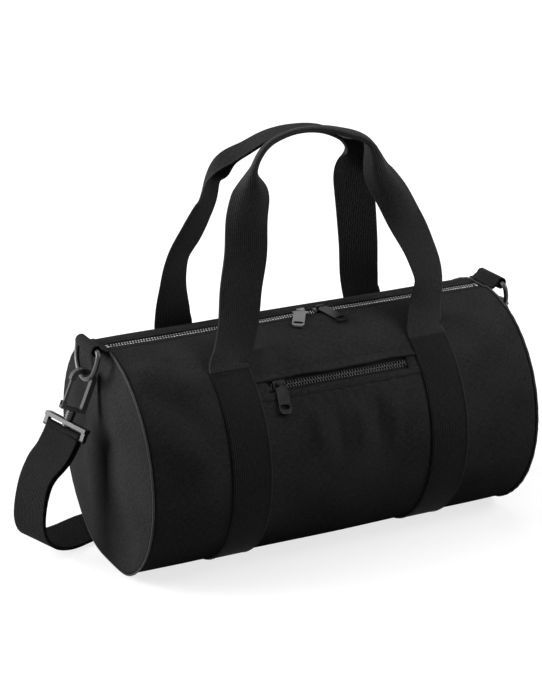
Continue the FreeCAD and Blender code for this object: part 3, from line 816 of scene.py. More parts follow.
@dataclass(frozen=True)
class BarrelForm:
    """The filled barrel's shape, which everything sewn to it follows."""

    radius: float = 0.105
    half_length: float = 0.190
    axis_z: float = 0.1025231
    flat_z: float = 0.0019
    corner: float = 0.0022
    belly: float = 0.0012
    ripple: float = 0.00035
    groove: float = 0.0008
    seam_gather: float = 0.00018
    pocket_gather: float = 0.0010
    mouth_dip: float = 0.0017
    band_x: float = 0.098
    creases: tuple[Crease, ...] = (
        Crease(-0.052, 68, -0.076, 48, 0.007, 0.0026),
        Crease(-0.034, 68, -0.058, 48, 0.008, -0.0024),
        Crease(0.016, 68, 0.052, 50, 0.009, 0.0024),
        Crease(0.044, 70, 0.074, 54, 0.008, -0.0022),
        Crease(-0.188, 72, -0.120, 40, 0.011, 0.0034),
        Crease(-0.186, 56, -0.122, 20, 0.012, -0.0034),
        Crease(-0.160, 74, -0.121, 52, 0.008, -0.0030),
        Crease(-0.186, 30, -0.124, 4, 0.014, 0.0024),
        Crease(-0.034, 31, -0.028, 4, 0.006, 0.0022),
        Crease(-0.012, 31, -0.010, -4, 0.006, -0.0022),
        Crease(0.010, 31, 0.010, 0, 0.006, 0.0024),
        Crease(0.030, 31, 0.026, 2, 0.005, -0.0024),
        Crease(0.047, 31, 0.040, -4, 0.006, 0.0026),
        Crease(0.186, 68, 0.126, 30, 0.013, 0.0030),
        Crease(0.182, 50, 0.148, 78, 0.010, -0.0024),
        Crease(0.180, 20, 0.124, -20, 0.016, -0.0024),
        Crease(-0.064, -10, 0.016, -32, 0.016, 0.0018),
        Crease(-0.150, 130, -0.122, 150, 0.012, 0.0022),
        Crease(-0.060, 112, 0.000, 140, 0.014, -0.0020),
        Crease(0.020, 118, 0.070, 160, 0.014, 0.0022),
        Crease(0.060, 190, -0.060, 212, 0.018, -0.0018),
        Crease(0.180, 120, 0.126, 150, 0.014, 0.0024),
    )

    def section(self, angle: Array) -> Array:
        """The section's radius at an angle: a circle that lies flat underneath with a soft corner.

        Args:
            angle: angles in radians, 0 at the front.

        Returns:
            The radius at each angle.
        """
        drop = np.maximum(-np.sin(angle), 0.05)
        flat = (self.axis_z - self.flat_z) / drop
        return -self.corner * np.logaddexp(-self.radius / self.corner, -flat / self.corner)

    def swell(self, x: Array, angle: Array) -> Array:
        """How far the cloth stands out from the plain section.

        Args:
            x: places along the barrel.
            angle: angles in radians, 0 at the front.

        Returns:
            Heights at these places.
        """
        degrees = np.degrees(angle)
        between = np.cos(np.pi * np.clip(x / self.band_x, -1, 1) / 2) ** 2
        beyond = np.sin(np.pi * np.clip((np.abs(x) - self.band_x) / (self.half_length - self.band_x), 0, 1))
        out = self.belly * (between + 0.7 * beyond)
        for crease in self.creases:
            out = out + self.fold(crease, x, degrees)
        out = out + self.ripple * np.sin(31 * x + 2.1 * angle) * np.sin(17 * x - 3.3 * angle + 1.0)
        calm = 1 - self.still(x, degrees)
        standing = smooth((np.sin(angle) + 0.99) / 0.25)
        groove = self.groove * np.exp(-(self.half_length - np.abs(x)) / 0.002)
        return (out * calm + self.gathers(x, degrees) - groove) * standing - self.dip(degrees)

    def gathers(self, x: Array, degrees: Array) -> Array:
        """Small gathers that the stitching draws in beside the end seams and under the pocket zip.

        Args:
            x: places along the barrel.
            degrees: angles in degrees, 0 at the front and 90 at the top.

        Returns:
            Heights at these places.
        """
        edge = np.exp(-(self.half_length - np.abs(x)) / 0.007)
        turn = np.radians(degrees)
        at_seam = self.seam_gather * edge * np.sin(turn * 46 + 2.0 * np.sin(turn * 7))
        below = np.clip(35.5 - degrees, 0, None) * math.radians(self.radius)
        near = np.exp(-below / 0.009) * smooth(below / 0.003) * smooth((0.077 - x) / 0.01)
        near = near * smooth((x + 0.044) / 0.01)
        at_pocket = self.pocket_gather * near * np.sin(x * 520 + 2.2 * np.sin(x * 61)) * (degrees < 36)
        return at_seam + at_pocket

    def dip(self, degrees: Array) -> Array:
        """How far the cloth rolls down towards the main zip."""
        away = self.from_top(degrees) * math.radians(self.radius)
        return self.mouth_dip * smooth((0.015 - away) / 0.0085)

    def from_top(self, degrees: Array) -> Array:
        """How many degrees a place lies from the main zip, on either side."""
        return np.abs((degrees + 90) % 360 - 180)

    def fold(self, crease: Crease, x: Array, degrees: Array) -> Array:
        """One crease's height at points on the barrel.

        Args:
            crease: the crease.
            x: places along the barrel.
            degrees: angles in degrees, 0 at the front and 90 at the top.

        Returns:
            Heights at these places.
        """
        best = np.zeros(np.broadcast(x, degrees).shape)
        s0 = math.radians(crease.a0) * self.radius
        s1 = math.radians(crease.a1) * self.radius
        run = math.hypot(crease.x1 - crease.x0, s1 - s0)
        ux = (crease.x1 - crease.x0) / run
        us = (s1 - s0) / run
        for turn in (0, 360, -360):
            s = np.radians(degrees + turn) * self.radius
            t = (x - crease.x0) * ux + (s - s0) * us
            off = (x - crease.x0) * us - (s - s0) * ux
            fade = smooth(t / (0.3 * run)) * smooth((run - t) / (0.4 * run))
            best = best + crease.depth * fade * np.exp(-((off / crease.width) ** 2))
        return best

    def still(self, x: Array, degrees: Array) -> Array:
        """1 beside the zips, where the cloth keeps its plain shape, and 0 away from them.

        Args:
            x: places along the barrel.
            degrees: angles in degrees, 0 at the front and 90 at the top.

        Returns:
            The share at these places.
        """
        top = smooth((27 - self.from_top(degrees)) / 9)
        pocket = smooth((9 - np.abs(degrees - POCKET_ANGLE)) / 4) * smooth((0.086 - np.abs(x)) / 0.006)
        return np.maximum(top, pocket)

    def around(self, x: Array, angle: Array, reach: Array) -> Array:
        """Points at a distance from the barrel's axis, with a last axis of 3."""
        return np.stack([x, -reach * np.cos(angle), self.axis_z + reach * np.sin(angle)], -1)

    def place(self, x: Array, angle: Array, lift: Array | float = 0.0) -> Array:
        """Points above the cloth by a lift; the angle is 0 at the front and a quarter turn at the top."""
        x, angle, lift = np.broadcast_arrays(x, angle, lift)
        return self.around(x, angle, self.section(angle) + self.swell(x, angle) + lift)


@dataclass(frozen=True)
class HemEdge:
    """A turned edge beside a zip: its place and length, how full and uneven it is, and if it overhangs."""

    name: str
    angle: float
    way: int
    half: float
    near: float = 0.0071
    puff: float = 0.0006
    sway: float = 0.0003
    flap: bool = False
    nodes: tuple[str, ...] = ()

    @property
    def profile(self) -> Rows:
        """The section's points: shares of the width, and of the height above the cloth."""
        return FLAP_PROFILE if self.flap else HEM_PROFILE


HEM_PROFILE: Rows = (
    *((0.02, -1.8), (-0.04, -0.6), (-0.02, 0.5), (0.08, 0.95), (0.25, 1.1), (0.5, 0.9)),
    *((0.8, 0.75), (0.95, 0.55), (1.0, 0.15), (0.9, 0.05), (0.5, 0.05), (0.2, -0.4)),
)
FLAP_PROFILE: Rows = (
    *((0.05, -0.9), (-0.02, -0.5), (-0.04, 0.2), (0.0, 0.7), (0.06, 0.98), (0.16, 1.0), (0.3, 0.76)),
    *((0.45, 0.5), (0.6, 0.28), (0.8, 0.1), (1.0, -0.06), (0.8, -0.2), (0.5, -0.25), (0.2, -0.5)),
)
POCKET_HEMS = ((1, "upper", (0.0052, 0.0017, 0.0005, True)), (-1, "lower", (0.0066, 0.0006, 0.0004, False)))
HEMS: tuple[HemEdge, ...] = (
    HemEdge("mouth_hem_front", TOP_ANGLE, -1, 0.1882),
    HemEdge("mouth_hem_back", TOP_ANGLE, 1, 0.1882),
    *(
        HemEdge("pocket_hem_" + word, POCKET_ANGLE, way, 0.0825, *shape, ("pocket_welt_" + word,))
        for way, word, shape in POCKET_HEMS
    ),
)
BEAD_CENTRE = np.array([0.0006, 0.0010])
BEAD_RADII = np.array([0.0010, 0.0009])
BINDING_PROFILE = np.array([(0, -1.5), (0, -3.8), (-4, -4.1), (-7.6, -3.7), (-7.8, -1.7)]) * MM


@dataclass(frozen=True)
class Barrel:
    """The canvas wall, its two ends, the raised seams between them and the turned edges at the zips."""

    form: BarrelForm
    palette: Palette
    mouth_half: float = 0.008
    pocket_half: float = 0.078
    cloth: float = 0.0014
    end_bulge: float = 0.008
    end_ridge: float = 0.0062
    end_hollow: float = 0.003
    end_ripple: float = 0.0006
    hem_far: float = 0.0133
    hem_step: float = 0.003
    hem_gather: float = 0.18

    def wall(self) -> Piece:
        """The wall, open at the main zip and the pocket zip.

        Returns:
            The finished wall.
        """
        gap = math.asin(self.mouth_half / self.form.radius)
        x = np.linspace(-self.form.half_length, self.form.half_length, 128)
        x = with_edges(x, np.array([-self.pocket_half, self.pocket_half]), 0.002)
        angle = math.pi / 2 - gap - np.linspace(0, FULL_TURN - 2 * gap, 220)
        low = math.radians(POCKET_ANGLE) - gap
        high = math.radians(POCKET_ANGLE) + gap
        angle = with_edges(angle, np.array([low, high]), 0.011)[::-1]
        gx, ga = grid(x, angle)
        mx = (x[:-1] + x[1:]) / 2
        ma = (angle[:-1] + angle[1:]) / 2
        inside = (np.abs(mx) < self.pocket_half)[:, None] & ((ma > low) & (ma < high))[None]
        piece = sheet_mesh("canvas_wall", self.form.place(gx, ga), (gx, ga * self.form.radius), ~inside)
        return self.panel(piece, "main_panel")

    def panel(self, piece: Piece, node: str) -> Piece:
        """Turn an open sheet's faces away from the barrel's middle, and thicken and finish it.

        Args:
            piece: the open sheet.
            node: the solid that it stands for.

        Returns:
            The same piece.
        """
        middle = Vector((0, 0, self.form.axis_z))
        with edited(piece.data) as bm:
            facing = sum((f.calc_center_median() - middle).dot(f.normal) for f in bm.faces)
            if facing < 0:
                bmesh.ops.reverse_faces(bm, faces=bm.faces)
        return dressed(thickened(piece, self.cloth, -1.0), self.palette.canvas, node)

    def end_place(self, side: Side, share: Array, angle: Array) -> Array:
        """Points on an end panel, by the share of the way out from its middle and the angle.

        Args:
            side: the end of the bag.
            share: 0 at the middle, 1 at the seam.
            angle: angles in radians, 0 at the front.

        Returns:
            Points with a last axis of 3.
        """
        reach = self.form.section(angle) * share
        y = -reach * np.cos(angle)
        z = self.form.axis_z + reach * np.sin(angle)
        quiet = smooth((1 - share) / 0.25)
        ridge = np.exp(-(((y - 0.044 + 0.12 * (z - 0.13)) / 0.014) ** 2)) * smooth((z - 0.05) / 0.06)
        ridge = ridge * smooth((0.2 - z) / 0.04)
        hollow = np.exp(-(((y + 0.062) / 0.02) ** 2)) * smooth((0.09 - z) / 0.05)
        ripple = np.sin(44 * y + 19 * z) * np.sin(23 * z - 31 * y + 0.8)
        dome = self.end_bulge * (1 - share**2)
        uneven = -self.end_ridge * ridge - self.end_hollow * hollow + self.end_ripple * ripple
        dome = dome + quiet * uneven
        return np.stack([side.value * (self.form.half_length + self.cloth + dome), y, z], -1)

    def end(self, side: Side) -> Piece:
        """One end: a shallow dome with a soft fold.

        Args:
            side: the end of the bag.

        Returns:
            The finished end.
        """
        share = np.linspace(0.0, 1.0, 44) ** 0.9
        share[0] = 0.004
        points = self.end_place(side, *grid(share, np.linspace(0, FULL_TURN, 161)))
        piece = sheet_mesh("end_cloth_" + side.word, points, (points[..., 1], points[..., 2]))
        with edited(piece.data) as bm:
            bmesh.ops.remove_doubles(bm, verts=bm.verts, dist=1e-5)
            rim = [e for e in bm.edges if e.is_boundary and e.calc_length() < 0.0001]
            bmesh.ops.holes_fill(bm, edges=rim, sides=200)
        return self.panel(piece, "end_panel_" + side.word)

    def seam(self, side: Side) -> Piece:
        """The seam's raised edge outside and its binding inside, as one ring.

        Args:
            side: the end of the bag.

        Returns:
            The finished seam.
        """
        angle = np.linspace(0, FULL_TURN, 241)
        ring = self.form.place(np.full_like(angle, side.value * self.form.half_length), angle)
        out = np.stack([np.zeros_like(angle), -np.cos(angle), np.sin(angle)], -1)
        lines = (ring, np.broadcast_to(side.value * X_AXIS, out.shape), out)
        turn = np.linspace(0, FULL_TURN, 14, endpoint=False)
        bead = BEAD_CENTRE + BEAD_RADII * np.stack([np.cos(turn), np.sin(turn)], -1)
        outer, inner = (
            ribbon_mesh(name, lines, outline, np.arange(len(outline) + 1) * THREAD_PITCH, loop=True)
            for name, outline in (("seam_edge_" + side.word, bead), ("binding", BINDING_PROFILE))
        )
        with edited(outer.data) as bm:
            bm.from_mesh(inner.data)
        bpy.data.objects.remove(inner)
        # The seam takes the paler canvas as a painted highlight.
        return dressed(outer, self.palette.seam, "seam_binding_" + side.word)

    def hem(self, edge: HemEdge) -> Piece:
        """A turned edge of canvas beside a zip.

        Args:
            edge: where it runs and how full it is.

        Returns:
            The finished edge.
        """
        x = np.linspace(-edge.half, edge.half, int(edge.half * 2 / self.hem_step))
        near = edge.near / self.form.radius
        wide = (self.hem_far - edge.near) / self.form.radius
        ends = smooth((edge.half - np.abs(x)) / 0.004)
        columns = []
        for share, lift in edge.profile:
            sway = edge.sway * (np.sin(x * 70 + edge.angle) + 0.6 * np.sin(x * 143)) * (1 - share)
            gather = 1 + self.hem_gather * np.sin(x * 1300 + 2 * np.sin(x * 90)) * smooth(lift)
            turn = math.radians(edge.angle) + edge.way * (near + wide * share + sway / self.form.radius)
            columns.append(self.form.place(x, turn, edge.puff * (lift * gather * ends - 0.3 * (1 - ends))))
        uv = grid(x, np.arange(len(columns) + 1) * THREAD_PITCH)
        return dressed(tube_mesh(edge.name, np.stack(columns, 1), uv), self.palette.canvas, *edge.nodes)

    def hem_line(self, edge: HemEdge, away: float = 0.0113, clear: float = 0.005) -> Array:
        """The stitching line along a turned edge, at a distance from the zip's middle.

        Args:
            edge: the turned edge.
            away: distance from the zip's middle.
            clear: what each end leaves free.

        Returns:
            Points along the line.
        """
        x = np.linspace(-edge.half + clear, edge.half - clear, 80)
        turn = math.radians(edge.angle) + edge.way * away / self.form.radius
        return self.form.place(x, np.full_like(x, turn), edge.puff * 0.95)


# Webbing


@dataclass(frozen=True)
class Webbing:
    """Ribbed webbing and its section."""

    width: float = 0.038
    thickness: float = 0.0018
    ribs: int = 22
    rib_height: float = 0.00022
    samples: int = 111
    fold_turn: float = math.radians(91)
    fold_reach: float = 0.0026
    flat_reach: float = 0.012

    @property
    def spread(self) -> Array:
        """Places across the width."""
        return np.linspace(-self.width / 2, self.width / 2, self.samples)

    def outline(self, fold: float = 0.0) -> Array:
        """The section as a closed outline.

        Args:
            fold: 0 for flat, 1 for folded double along the middle.

        Returns:
            Points across the width and along the fold.
        """
        w = self.spread
        reach = self.fold_reach + (1 - fold) * self.flat_reach
        turn = math.acos(1 - fold * (1 - math.cos(self.fold_turn))) * smooth(np.abs(w) / reach)
        step = self.width / (self.samples - 1)
        side = np.cumsum(np.cos(turn)) * step
        side = side - side[self.samples // 2]
        deep = np.cumsum(np.sin(turn) * np.sign(w)) * step
        deep = deep - deep[self.samples // 2]
        deep = deep - (deep.min() + deep.max()) / 2
        lean = turn * np.sign(w)
        edge = np.clip((self.width / 2 - np.abs(w)) / (self.thickness * 0.55), 0, 1)
        half = self.thickness / 2 * np.sqrt(np.clip(1 - (1 - edge) ** 2, 0.02, 1))
        rib = self.rib_height * np.abs(np.sin(np.pi * self.ribs * (w / self.width + 0.5))) * edge
        tall = half + rib - self.rib_height
        top = np.stack([side - np.sin(lean) * tall, deep + np.cos(lean) * tall], -1)
        low = np.stack([side + np.sin(lean) * tall, deep - np.cos(lean) * tall], -1)
        return np.concatenate([top, low[::-1]])

    @property
    def across(self) -> Array:
        """The outline's UV across the width, closed at the end."""
        w = self.spread
        return np.concatenate([w, w[::-1], w[:1]])

    def strip(self, name: str, centres: Array, sides: Array) -> Piece:
        """Flat webbing along a line, with one width direction for all points or one for each."""
        along, sides = line_frame(centres, np.broadcast_to(sides, centres.shape))
        return ribbon_mesh(name, (centres, sides, np.cross(sides, along)), self.outline(), self.across)


# Each handle's left and right leg from its foot up, as seen from its own side of the bag. A row has mm from
# the hinge (outwards along X, in over the bag along Y, up), the turn in degrees and the fold.
HANDLE_LEGS: dict[str, tuple[Rows, Rows]] = {
    "front": (
        (
            (-7.6, 11.9, 9.6, 0, 0),
            (-18.2, 20.6, 32.2, 6, 0),
            (-24.5, 26.4, 63.2, 12, 0),
            (-31.7, 30.4, 93.0, 17, 0),
            (-35.2, 33.4, 124.2, 21, 0.06),
            (-41.6, 37.0, 145.4, 22, 0.2),
            (-45.7, 41.3, 163.2, 23, 1),
            (-58.9, 45.4, 180.7, 22, 1),
            (-80.7, 48.3, 189.5, 17, 1),
        ),
        (
            (6.2, 15.8, 16.9, -4, 0),
            (14.5, 23.9, 47.7, -21, 0),
            (7.1, 28.2, 75.3, -20, 0),
            (-3.6, 31.1, 99.0, -14, 0),
            (-15.3, 33.4, 123.8, -3, 0.2),
            (-27.6, 36.8, 144.6, 7, 0.4),
            (-37.2, 44.2, 175.7, 12, 1),
            (-60.5, 47.0, 186.0, 5, 1),
            (-87.1, 48.9, 191.3, -6, 1),
        ),
    ),
    "back": (
        (
            (-6.3, 12.0, 9.8, 0, 0),
            (-13.2, 20.7, 32.7, 9, 0),
            (-17.1, 26.7, 65.2, 10, 0),
            (-21.2, 30.8, 95.9, 13, 0),
            (-26.9, 35.4, 137.5, 15, 0),
            (-30.7, 41.2, 162.9, 13, 0.6),
            (-42.0, 43.1, 170.9, 10, 1),
            (-65.5, 45.8, 182.2, 6, 1),
            (-87.6, 46.8, 185.4, 5, 1),
        ),
        (
            (5.5, 15.2, 15.8, -3, 0),
            (8.0, 24.0, 48.3, -27, 0),
            (3.4, 28.5, 77.7, -35, 0),
            (-10.1, 31.3, 100.8, -32, 0),
            (-22.6, 33.6, 125.6, -38, 0),
            (-27.2, 37.5, 147.9, -43, 0.1),
            (-40.1, 41.4, 163.8, -28, 1),
            (-58.5, 43.6, 172.9, -13, 1),
            (-80.6, 45.8, 182.4, -7, 1),
        ),
    ),
}


@dataclass(frozen=True)
class Carriers:
    """The webbing bands round the barrel and the two handles."""

    form: BarrelForm
    palette: Palette
    webbing: Webbing = Webbing()
    leave: float = 53.5
    hinge: tuple[float, float] = (-0.0631702, 0.1878927)
    sewn: tuple[float, float] = (-0.0008, 0.0025)
    band_lift: float = 0.001
    stitch_lift: float = 0.00195

    def band_line(self, x: float, lift: float) -> Array:
        """A line round the barrel under the bag, from one handle's foot to the other's."""
        angle = np.radians(np.linspace(self.leave, -180 - self.leave, 170))
        return self.form.place(np.full_like(angle, x), angle, lift)

    def band(self, side: Side) -> Piece:
        """One band, ribbed along its length.

        Args:
            side: the end of the bag.

        Returns:
            The finished band.
        """
        line = self.band_line(side.value * self.form.band_x, self.band_lift)
        piece = self.webbing.strip("band_" + side.word, line, X_AXIS)
        return dressed(piece, self.palette.webbing, "body_band_" + side.word)

    def band_stitches(self) -> list[Array]:
        """The rows of stitching along both edges of both bands, and across their ends.

        Returns:
            A line for each row.
        """
        lines = []
        for side in Side:
            middle = side.value * self.form.band_x
            for edge in (-0.0168, 0.0168):
                lines.append(self.band_line(middle + edge, self.stitch_lift))
            for angle in (self.leave - 1.6, 180 - self.leave + 1.6):
                x = middle + np.linspace(-0.0165, 0.0165, 20)
                lines.append(self.form.place(x, np.full_like(x, math.radians(angle)), self.stitch_lift))
        return lines

    def leg(self, side: Side, rows: Rows) -> Array:
        """A handle's leg from its sewn foot up: places as at the front, turns in degrees and folds.

        Args:
            side: the end of the bag.
            rows: the free part, as in HANDLE_LEGS.

        Returns:
            A row of five values for each station.
        """
        leave = math.radians(self.leave)
        foot = np.outer(self.sewn, (0.0, math.sin(leave), math.cos(leave), 0, 0))
        free = np.array(rows) * (side.value, 1, 1, side.value, 1) * (MM, MM, MM, 1, 1)
        return np.concatenate([foot, free]) + (side.value * self.form.band_x, *self.hinge, 0, 0)

    def handle(self, word: str) -> Piece:
        """One handle: flat legs that fold double into an arched grip.

        Args:
            word: front or back.

        Returns:
            The finished handle.
        """
        left, right = (self.leg(side, rows) for side, rows in zip(Side, HANDLE_LEGS[word]))
        stations = np.concatenate([left, right[::-1]])
        points = stations[:, :3]
        at = run_length(points)
        fine = np.linspace(0, at[-1], 190)
        slope = np.gradient(points, at, axis=0)
        index = np.clip(np.searchsorted(at, fine, side="right") - 1, 0, len(at) - 2)
        gap = (at[index + 1] - at[index])[:, None]
        t = ((fine - at[index]) / gap[:, 0])[:, None]
        line = (2 * t**3 - 3 * t**2 + 1) * points[index] + (t**3 - 2 * t**2 + t) * gap * slope[index]
        line = line + (3 * t**2 - 2 * t**3) * points[index + 1] + (t**3 - t**2) * gap * slope[index + 1]
        kernel = np.hanning(11) / np.hanning(11).sum()
        turn, fold = (
            np.convolve(np.pad(np.interp(fine, at, column), 5, "edge"), kernel, "valid")
            for column in stations[:, 3:].T
        )
        along = unit(np.gradient(line, axis=0))
        near = smooth(1 - np.minimum(fine, at[-1] - fine) / 0.03)[:, None]
        steady = unit(along * (1 - near) + unit(along * (0, 1, 1)) * near)
        across = unit(Y_AXIS - steady * steady[:, 1:2])
        angle = np.radians(turn)[:, None]
        across = across * np.cos(angle) + np.cross(steady, across) * np.sin(angle)
        lines = np.stack([line, np.cross(steady, across), across])
        if word == "back":
            lines = lines * (-1, -1, 1)
        outline = np.stack([self.webbing.outline(f) for f in fold])
        piece = ribbon_mesh("handle_web_" + word, lines, outline, self.webbing.across)
        # The handles take the lighter copy of the webbing as painted light.
        return dressed(piece, self.palette.handle, "handle_" + word, body="handle_" + word)


# Zips and pocket


@dataclass(frozen=True)
class ZipFrame:
    """A zip built at the top of the barrel and turned to its place.

    The tape's outer part rises by the first value of rise, from the second one on and over the third.
    """

    name: str
    words: tuple[str, str]
    angle: float
    half: float
    tape_half: float
    sway: float
    rise: tuple[float, float, float]

    def wave(self, x: Array) -> Array:
        """The chain's slight sway to the front and back."""
        sway = np.sin(38 * x + 0.4) + 0.5 * np.sin(71 * x + 2.0)
        return self.sway * sway * smooth((0.19 - np.abs(x)) / 0.03)


MAIN_RISE = (-0.0011, 0.0055, 0.003)
MAIN_ZIP = ZipFrame("main", ("front", "back"), TOP_ANGLE, 0.184, 0.1892, 0.0005, MAIN_RISE)
POCKET_RISE = (0.0008, 0.0045, 0.0025)
POCKET_ZIP = ZipFrame("pocket", ("lower", "upper"), POCKET_ANGLE, 0.0665, 0.0785, 0.0, POCKET_RISE)


@dataclass(frozen=True)
class Zips:
    """The main zip and the pocket zip."""

    form: BarrelForm
    palette: Palette
    repeater: Repeater
    tape_level: float = 0.2044832
    pitch: float = 0.0026
    tape_reach: float = 0.0148
    tape_inner: float = 0.0024
    tape_thickness: float = 0.0007
    tape_lift: float = 0.0003
    tape_ripple: float = 0.0003
    cord_height: float = 0.0005

    def turned(self, points: Array, angle: float) -> Array:
        """Points at the top of the barrel, turned about its axis.

        Args:
            points: points with a last axis of 3.
            angle: the zip's angle in degrees.

        Returns:
            The turned points.
        """
        turn = math.radians(TOP_ANGLE - angle)
        y = points[..., 1]
        z = points[..., 2] - self.form.axis_z
        cos, sin = math.cos(turn), math.sin(turn)
        return np.stack([points[..., 0], y * cos - z * sin, self.form.axis_z + y * sin + z * cos], -1)

    def tape(self, zip_frame: ZipFrame, word: str, way: int) -> Piece:
        """One tape, with a cord along its toothed edge.

        Args:
            zip_frame: the zip.
            word: the tape's side in names.
            way: its side, -1 or 1.

        Returns:
            The finished tape.
        """
        x = np.linspace(-zip_frame.tape_half, zip_frame.tape_half, int(zip_frame.tape_half / 0.002))
        gx, gy = grid(x, np.linspace(self.tape_inner, self.tape_reach, 12))
        cord = self.cord_height * np.exp(-(((gy - self.tape_inner - 0.0009) / 0.0007) ** 2))
        dip = self.tape_ripple * np.sin(60 * gx) * (1 - (gy - self.tape_inner) / self.tape_reach)
        rise, start, over = zip_frame.rise
        dip = dip + rise * smooth((gy - start) / over)
        level = self.tape_level + self.tape_lift + cord + dip
        points = np.stack([gx, way * gy + zip_frame.wave(gx), level], -1)
        name = f"{zip_frame.name}_tape_{word}"
        piece = outward(sheet_mesh(name, self.turned(points, zip_frame.angle), (gy, gx)))
        thickened(piece, self.tape_thickness)
        return dressed(piece, self.palette.tape, f"{zip_frame.name}_zip_tape_{word}")

    def teeth(self, zip_frame: ZipFrame, word: str, way: int, finish: Finish) -> Piece:
        """One row of teeth; the two rows stand half a pitch apart.

        Args:
            zip_frame: the zip.
            word: the row's side in names.
            way: its side, -1 or 1.
            finish: the teeth's finish.

        Returns:
            The finished row.
        """
        shift = self.pitch / 2 if way > 0 else 0.0
        count = int(2 * zip_frame.half / self.pitch) - 1
        start = -count * self.pitch / 2 + shift - self.pitch / 4
        x = start + np.arange(count + 1) * self.pitch
        line = np.stack([x, zip_frame.wave(x), np.full_like(x, self.tape_level)], -1)
        part = make_tooth(way)
        piece = self.repeater.along(f"{zip_frame.name}_chain_{word}", [line], part, self.pitch, finish)
        bpy.data.objects.remove(part)
        points = np.array([v.co for v in piece.data.vertices], float)
        moved = self.turned(points, zip_frame.angle).astype(np.float32)
        piece.data.vertices.foreach_set("co", moved.ravel())
        piece.data.update()
        return dressed(piece, finish, f"{zip_frame.name}_zip_teeth_{word}")

    def build(self) -> None:
        """Both zips' tapes, teeth, stops, sliders and pulls."""
        looks = self.palette
        for zip_frame, finish in ((MAIN_ZIP, looks.teeth), (POCKET_ZIP, looks.dark_teeth)):
            for word, way in zip(zip_frame.words, (-1, 1)):
                self.tape(zip_frame, word, way)
                self.teeth(zip_frame, word, way, finish)
        moulded("main_zip_stops", "_cast", 0.0005, looks.teeth)
        moulded("pocket_zip_stops", "_cast", 0.0005, looks.metal)
        for place in ("main_%s_left", "main_%s_right", "pocket_%s"):
            # The left main slider and pull get the lighter gunmetal as a painted reflection.
            finish = looks.worn_metal if place.endswith("left") else looks.metal
            for part, width in (("slider", 0.0004), ("pull", 0.0005)):
                moulded(place % part, "_cast", width, finish, place % part)


@dataclass(frozen=True)
class Pocket:
    """The pocket's lining and the tabs at its zip's ends."""

    form: BarrelForm
    palette: Palette
    half: float = 0.0795
    low: float = -34.5
    high: float = 61.5
    floor: float = 0.0950
    rim: float = 0.1034
    mean_radius: float = 0.098
    lining_thickness: float = 0.0006
    tab_x: tuple[float, float] = (0.0690, 0.0784)
    tab_half: float = 0.0076
    tab_thickness: float = 0.0011
    tab_puff: float = 0.0006
    tab_sink: float = 0.0013

    def lining(self) -> Piece:
        """The pocket's bag, a shallow tray behind the wall.

        Returns:
            The finished lining.
        """
        angle = np.radians(np.linspace(self.low, self.high, 70))
        gx, ga = grid(np.linspace(-self.half, self.half, 60), angle)
        beside = self.mean_radius * np.minimum(ga - angle[0], angle[-1] - ga)
        edge = np.minimum(self.half - np.abs(gx), beside)
        reach = self.rim - (self.rim - self.floor) * smooth(edge / 0.007)
        piece = sheet_mesh("pocket_bag", self.form.around(gx, ga, reach), (gx, ga * self.mean_radius))
        return dressed(thickened(piece, self.lining_thickness), self.palette.canvas, "pocket_lining")

    def tab(self, side: Side) -> Piece:
        """A stitched tab over one end of the pocket zip.

        Args:
            side: the end of the bag.

        Returns:
            The finished tab.
        """
        x = np.linspace(*self.tab_x, 14) * side.value
        gx, gy = grid(x, np.linspace(-self.tab_half, self.tab_half, 18))
        puff = self.tab_puff * smooth((self.tab_half - np.abs(gy)) / 0.002)
        puff = puff * smooth((np.abs(gx) - self.tab_x[0]) / 0.002)
        turn = math.radians(POCKET_ANGLE) + gy / self.form.radius
        points = self.form.place(gx, turn, puff - self.tab_sink)
        piece = sheet_mesh("pocket_end_tab_" + side.word, points, (gx, gy))
        thickened(piece, self.tab_thickness)
        return dressed(piece, self.palette.canvas, "pocket_zip_tab_" + side.word)


# Ends and strap


@dataclass(frozen=True)
class EndFittings:
    """At each end: the ring's tab, the ring, and the hook with its gate and base."""

    palette: Palette
    webbing: Webbing = Webbing(samples=53)
    bar: tuple[float, float] = (0.203, 0.2094231)
    tongue_end: float = 0.1908
    loop: float = 0.0046
    layer_offset: float = 0.00095
    neck_drop: float = 0.0028
    rounding: tuple[tuple[str, float], ...] = (
        ("d_ring_", 0.0004),
        ("snap_hook_", 0.0006),
        ("hook_gate_", 0.0006),
        ("hook_base_", 0.0010),
    )

    def neck(self, x: Array, layer: int) -> Array:
        """One of the tab's two layers between the roll and the end seam, as x and height."""
        share = smooth((self.bar[0] - 0.0042 - x) / 0.0052)
        return np.stack([x, self.bar[1] + layer * self.layer_offset - self.neck_drop * share], -1)

    def tab(self, side: Side) -> Piece:
        """The tab: webbing folded round the ring's bar, with both ends sewn into the end seam.

        Args:
            side: the end of the bag.

        Returns:
            The finished tab.
        """
        x, z = self.bar
        turn = np.radians(np.linspace(62, 298, 25))
        run = np.linspace(self.tongue_end, x - 0.0045, 10)
        round_bar = np.stack([x - self.loop * np.cos(turn), z + self.loop * np.sin(turn)], -1)
        flat = np.concatenate([self.neck(run, 1), round_bar, self.neck(run, -1)[::-1]])
        line = np.stack([side.value * flat[:, 0], np.zeros(len(flat)), flat[:, 1]], -1)
        piece = self.webbing.strip("ring_tab_" + side.word, line, Y_AXIS)
        return dressed(piece, self.palette.webbing, "d_ring_tab_" + side.word)

    def hardware(self, side: Side) -> list[Piece]:
        """The moulded ring, hook, gate and base of one end, rounded along their edges.

        Args:
            side: the end of the bag.

        Returns:
            The four pieces.
        """
        pieces = []
        for stem, width in self.rounding:
            node = stem + side.word
            body = "bag" if stem == "hook_base_" else node
            pieces.append(moulded(node, "_moulded", width, self.palette.plastic, body))
        return pieces


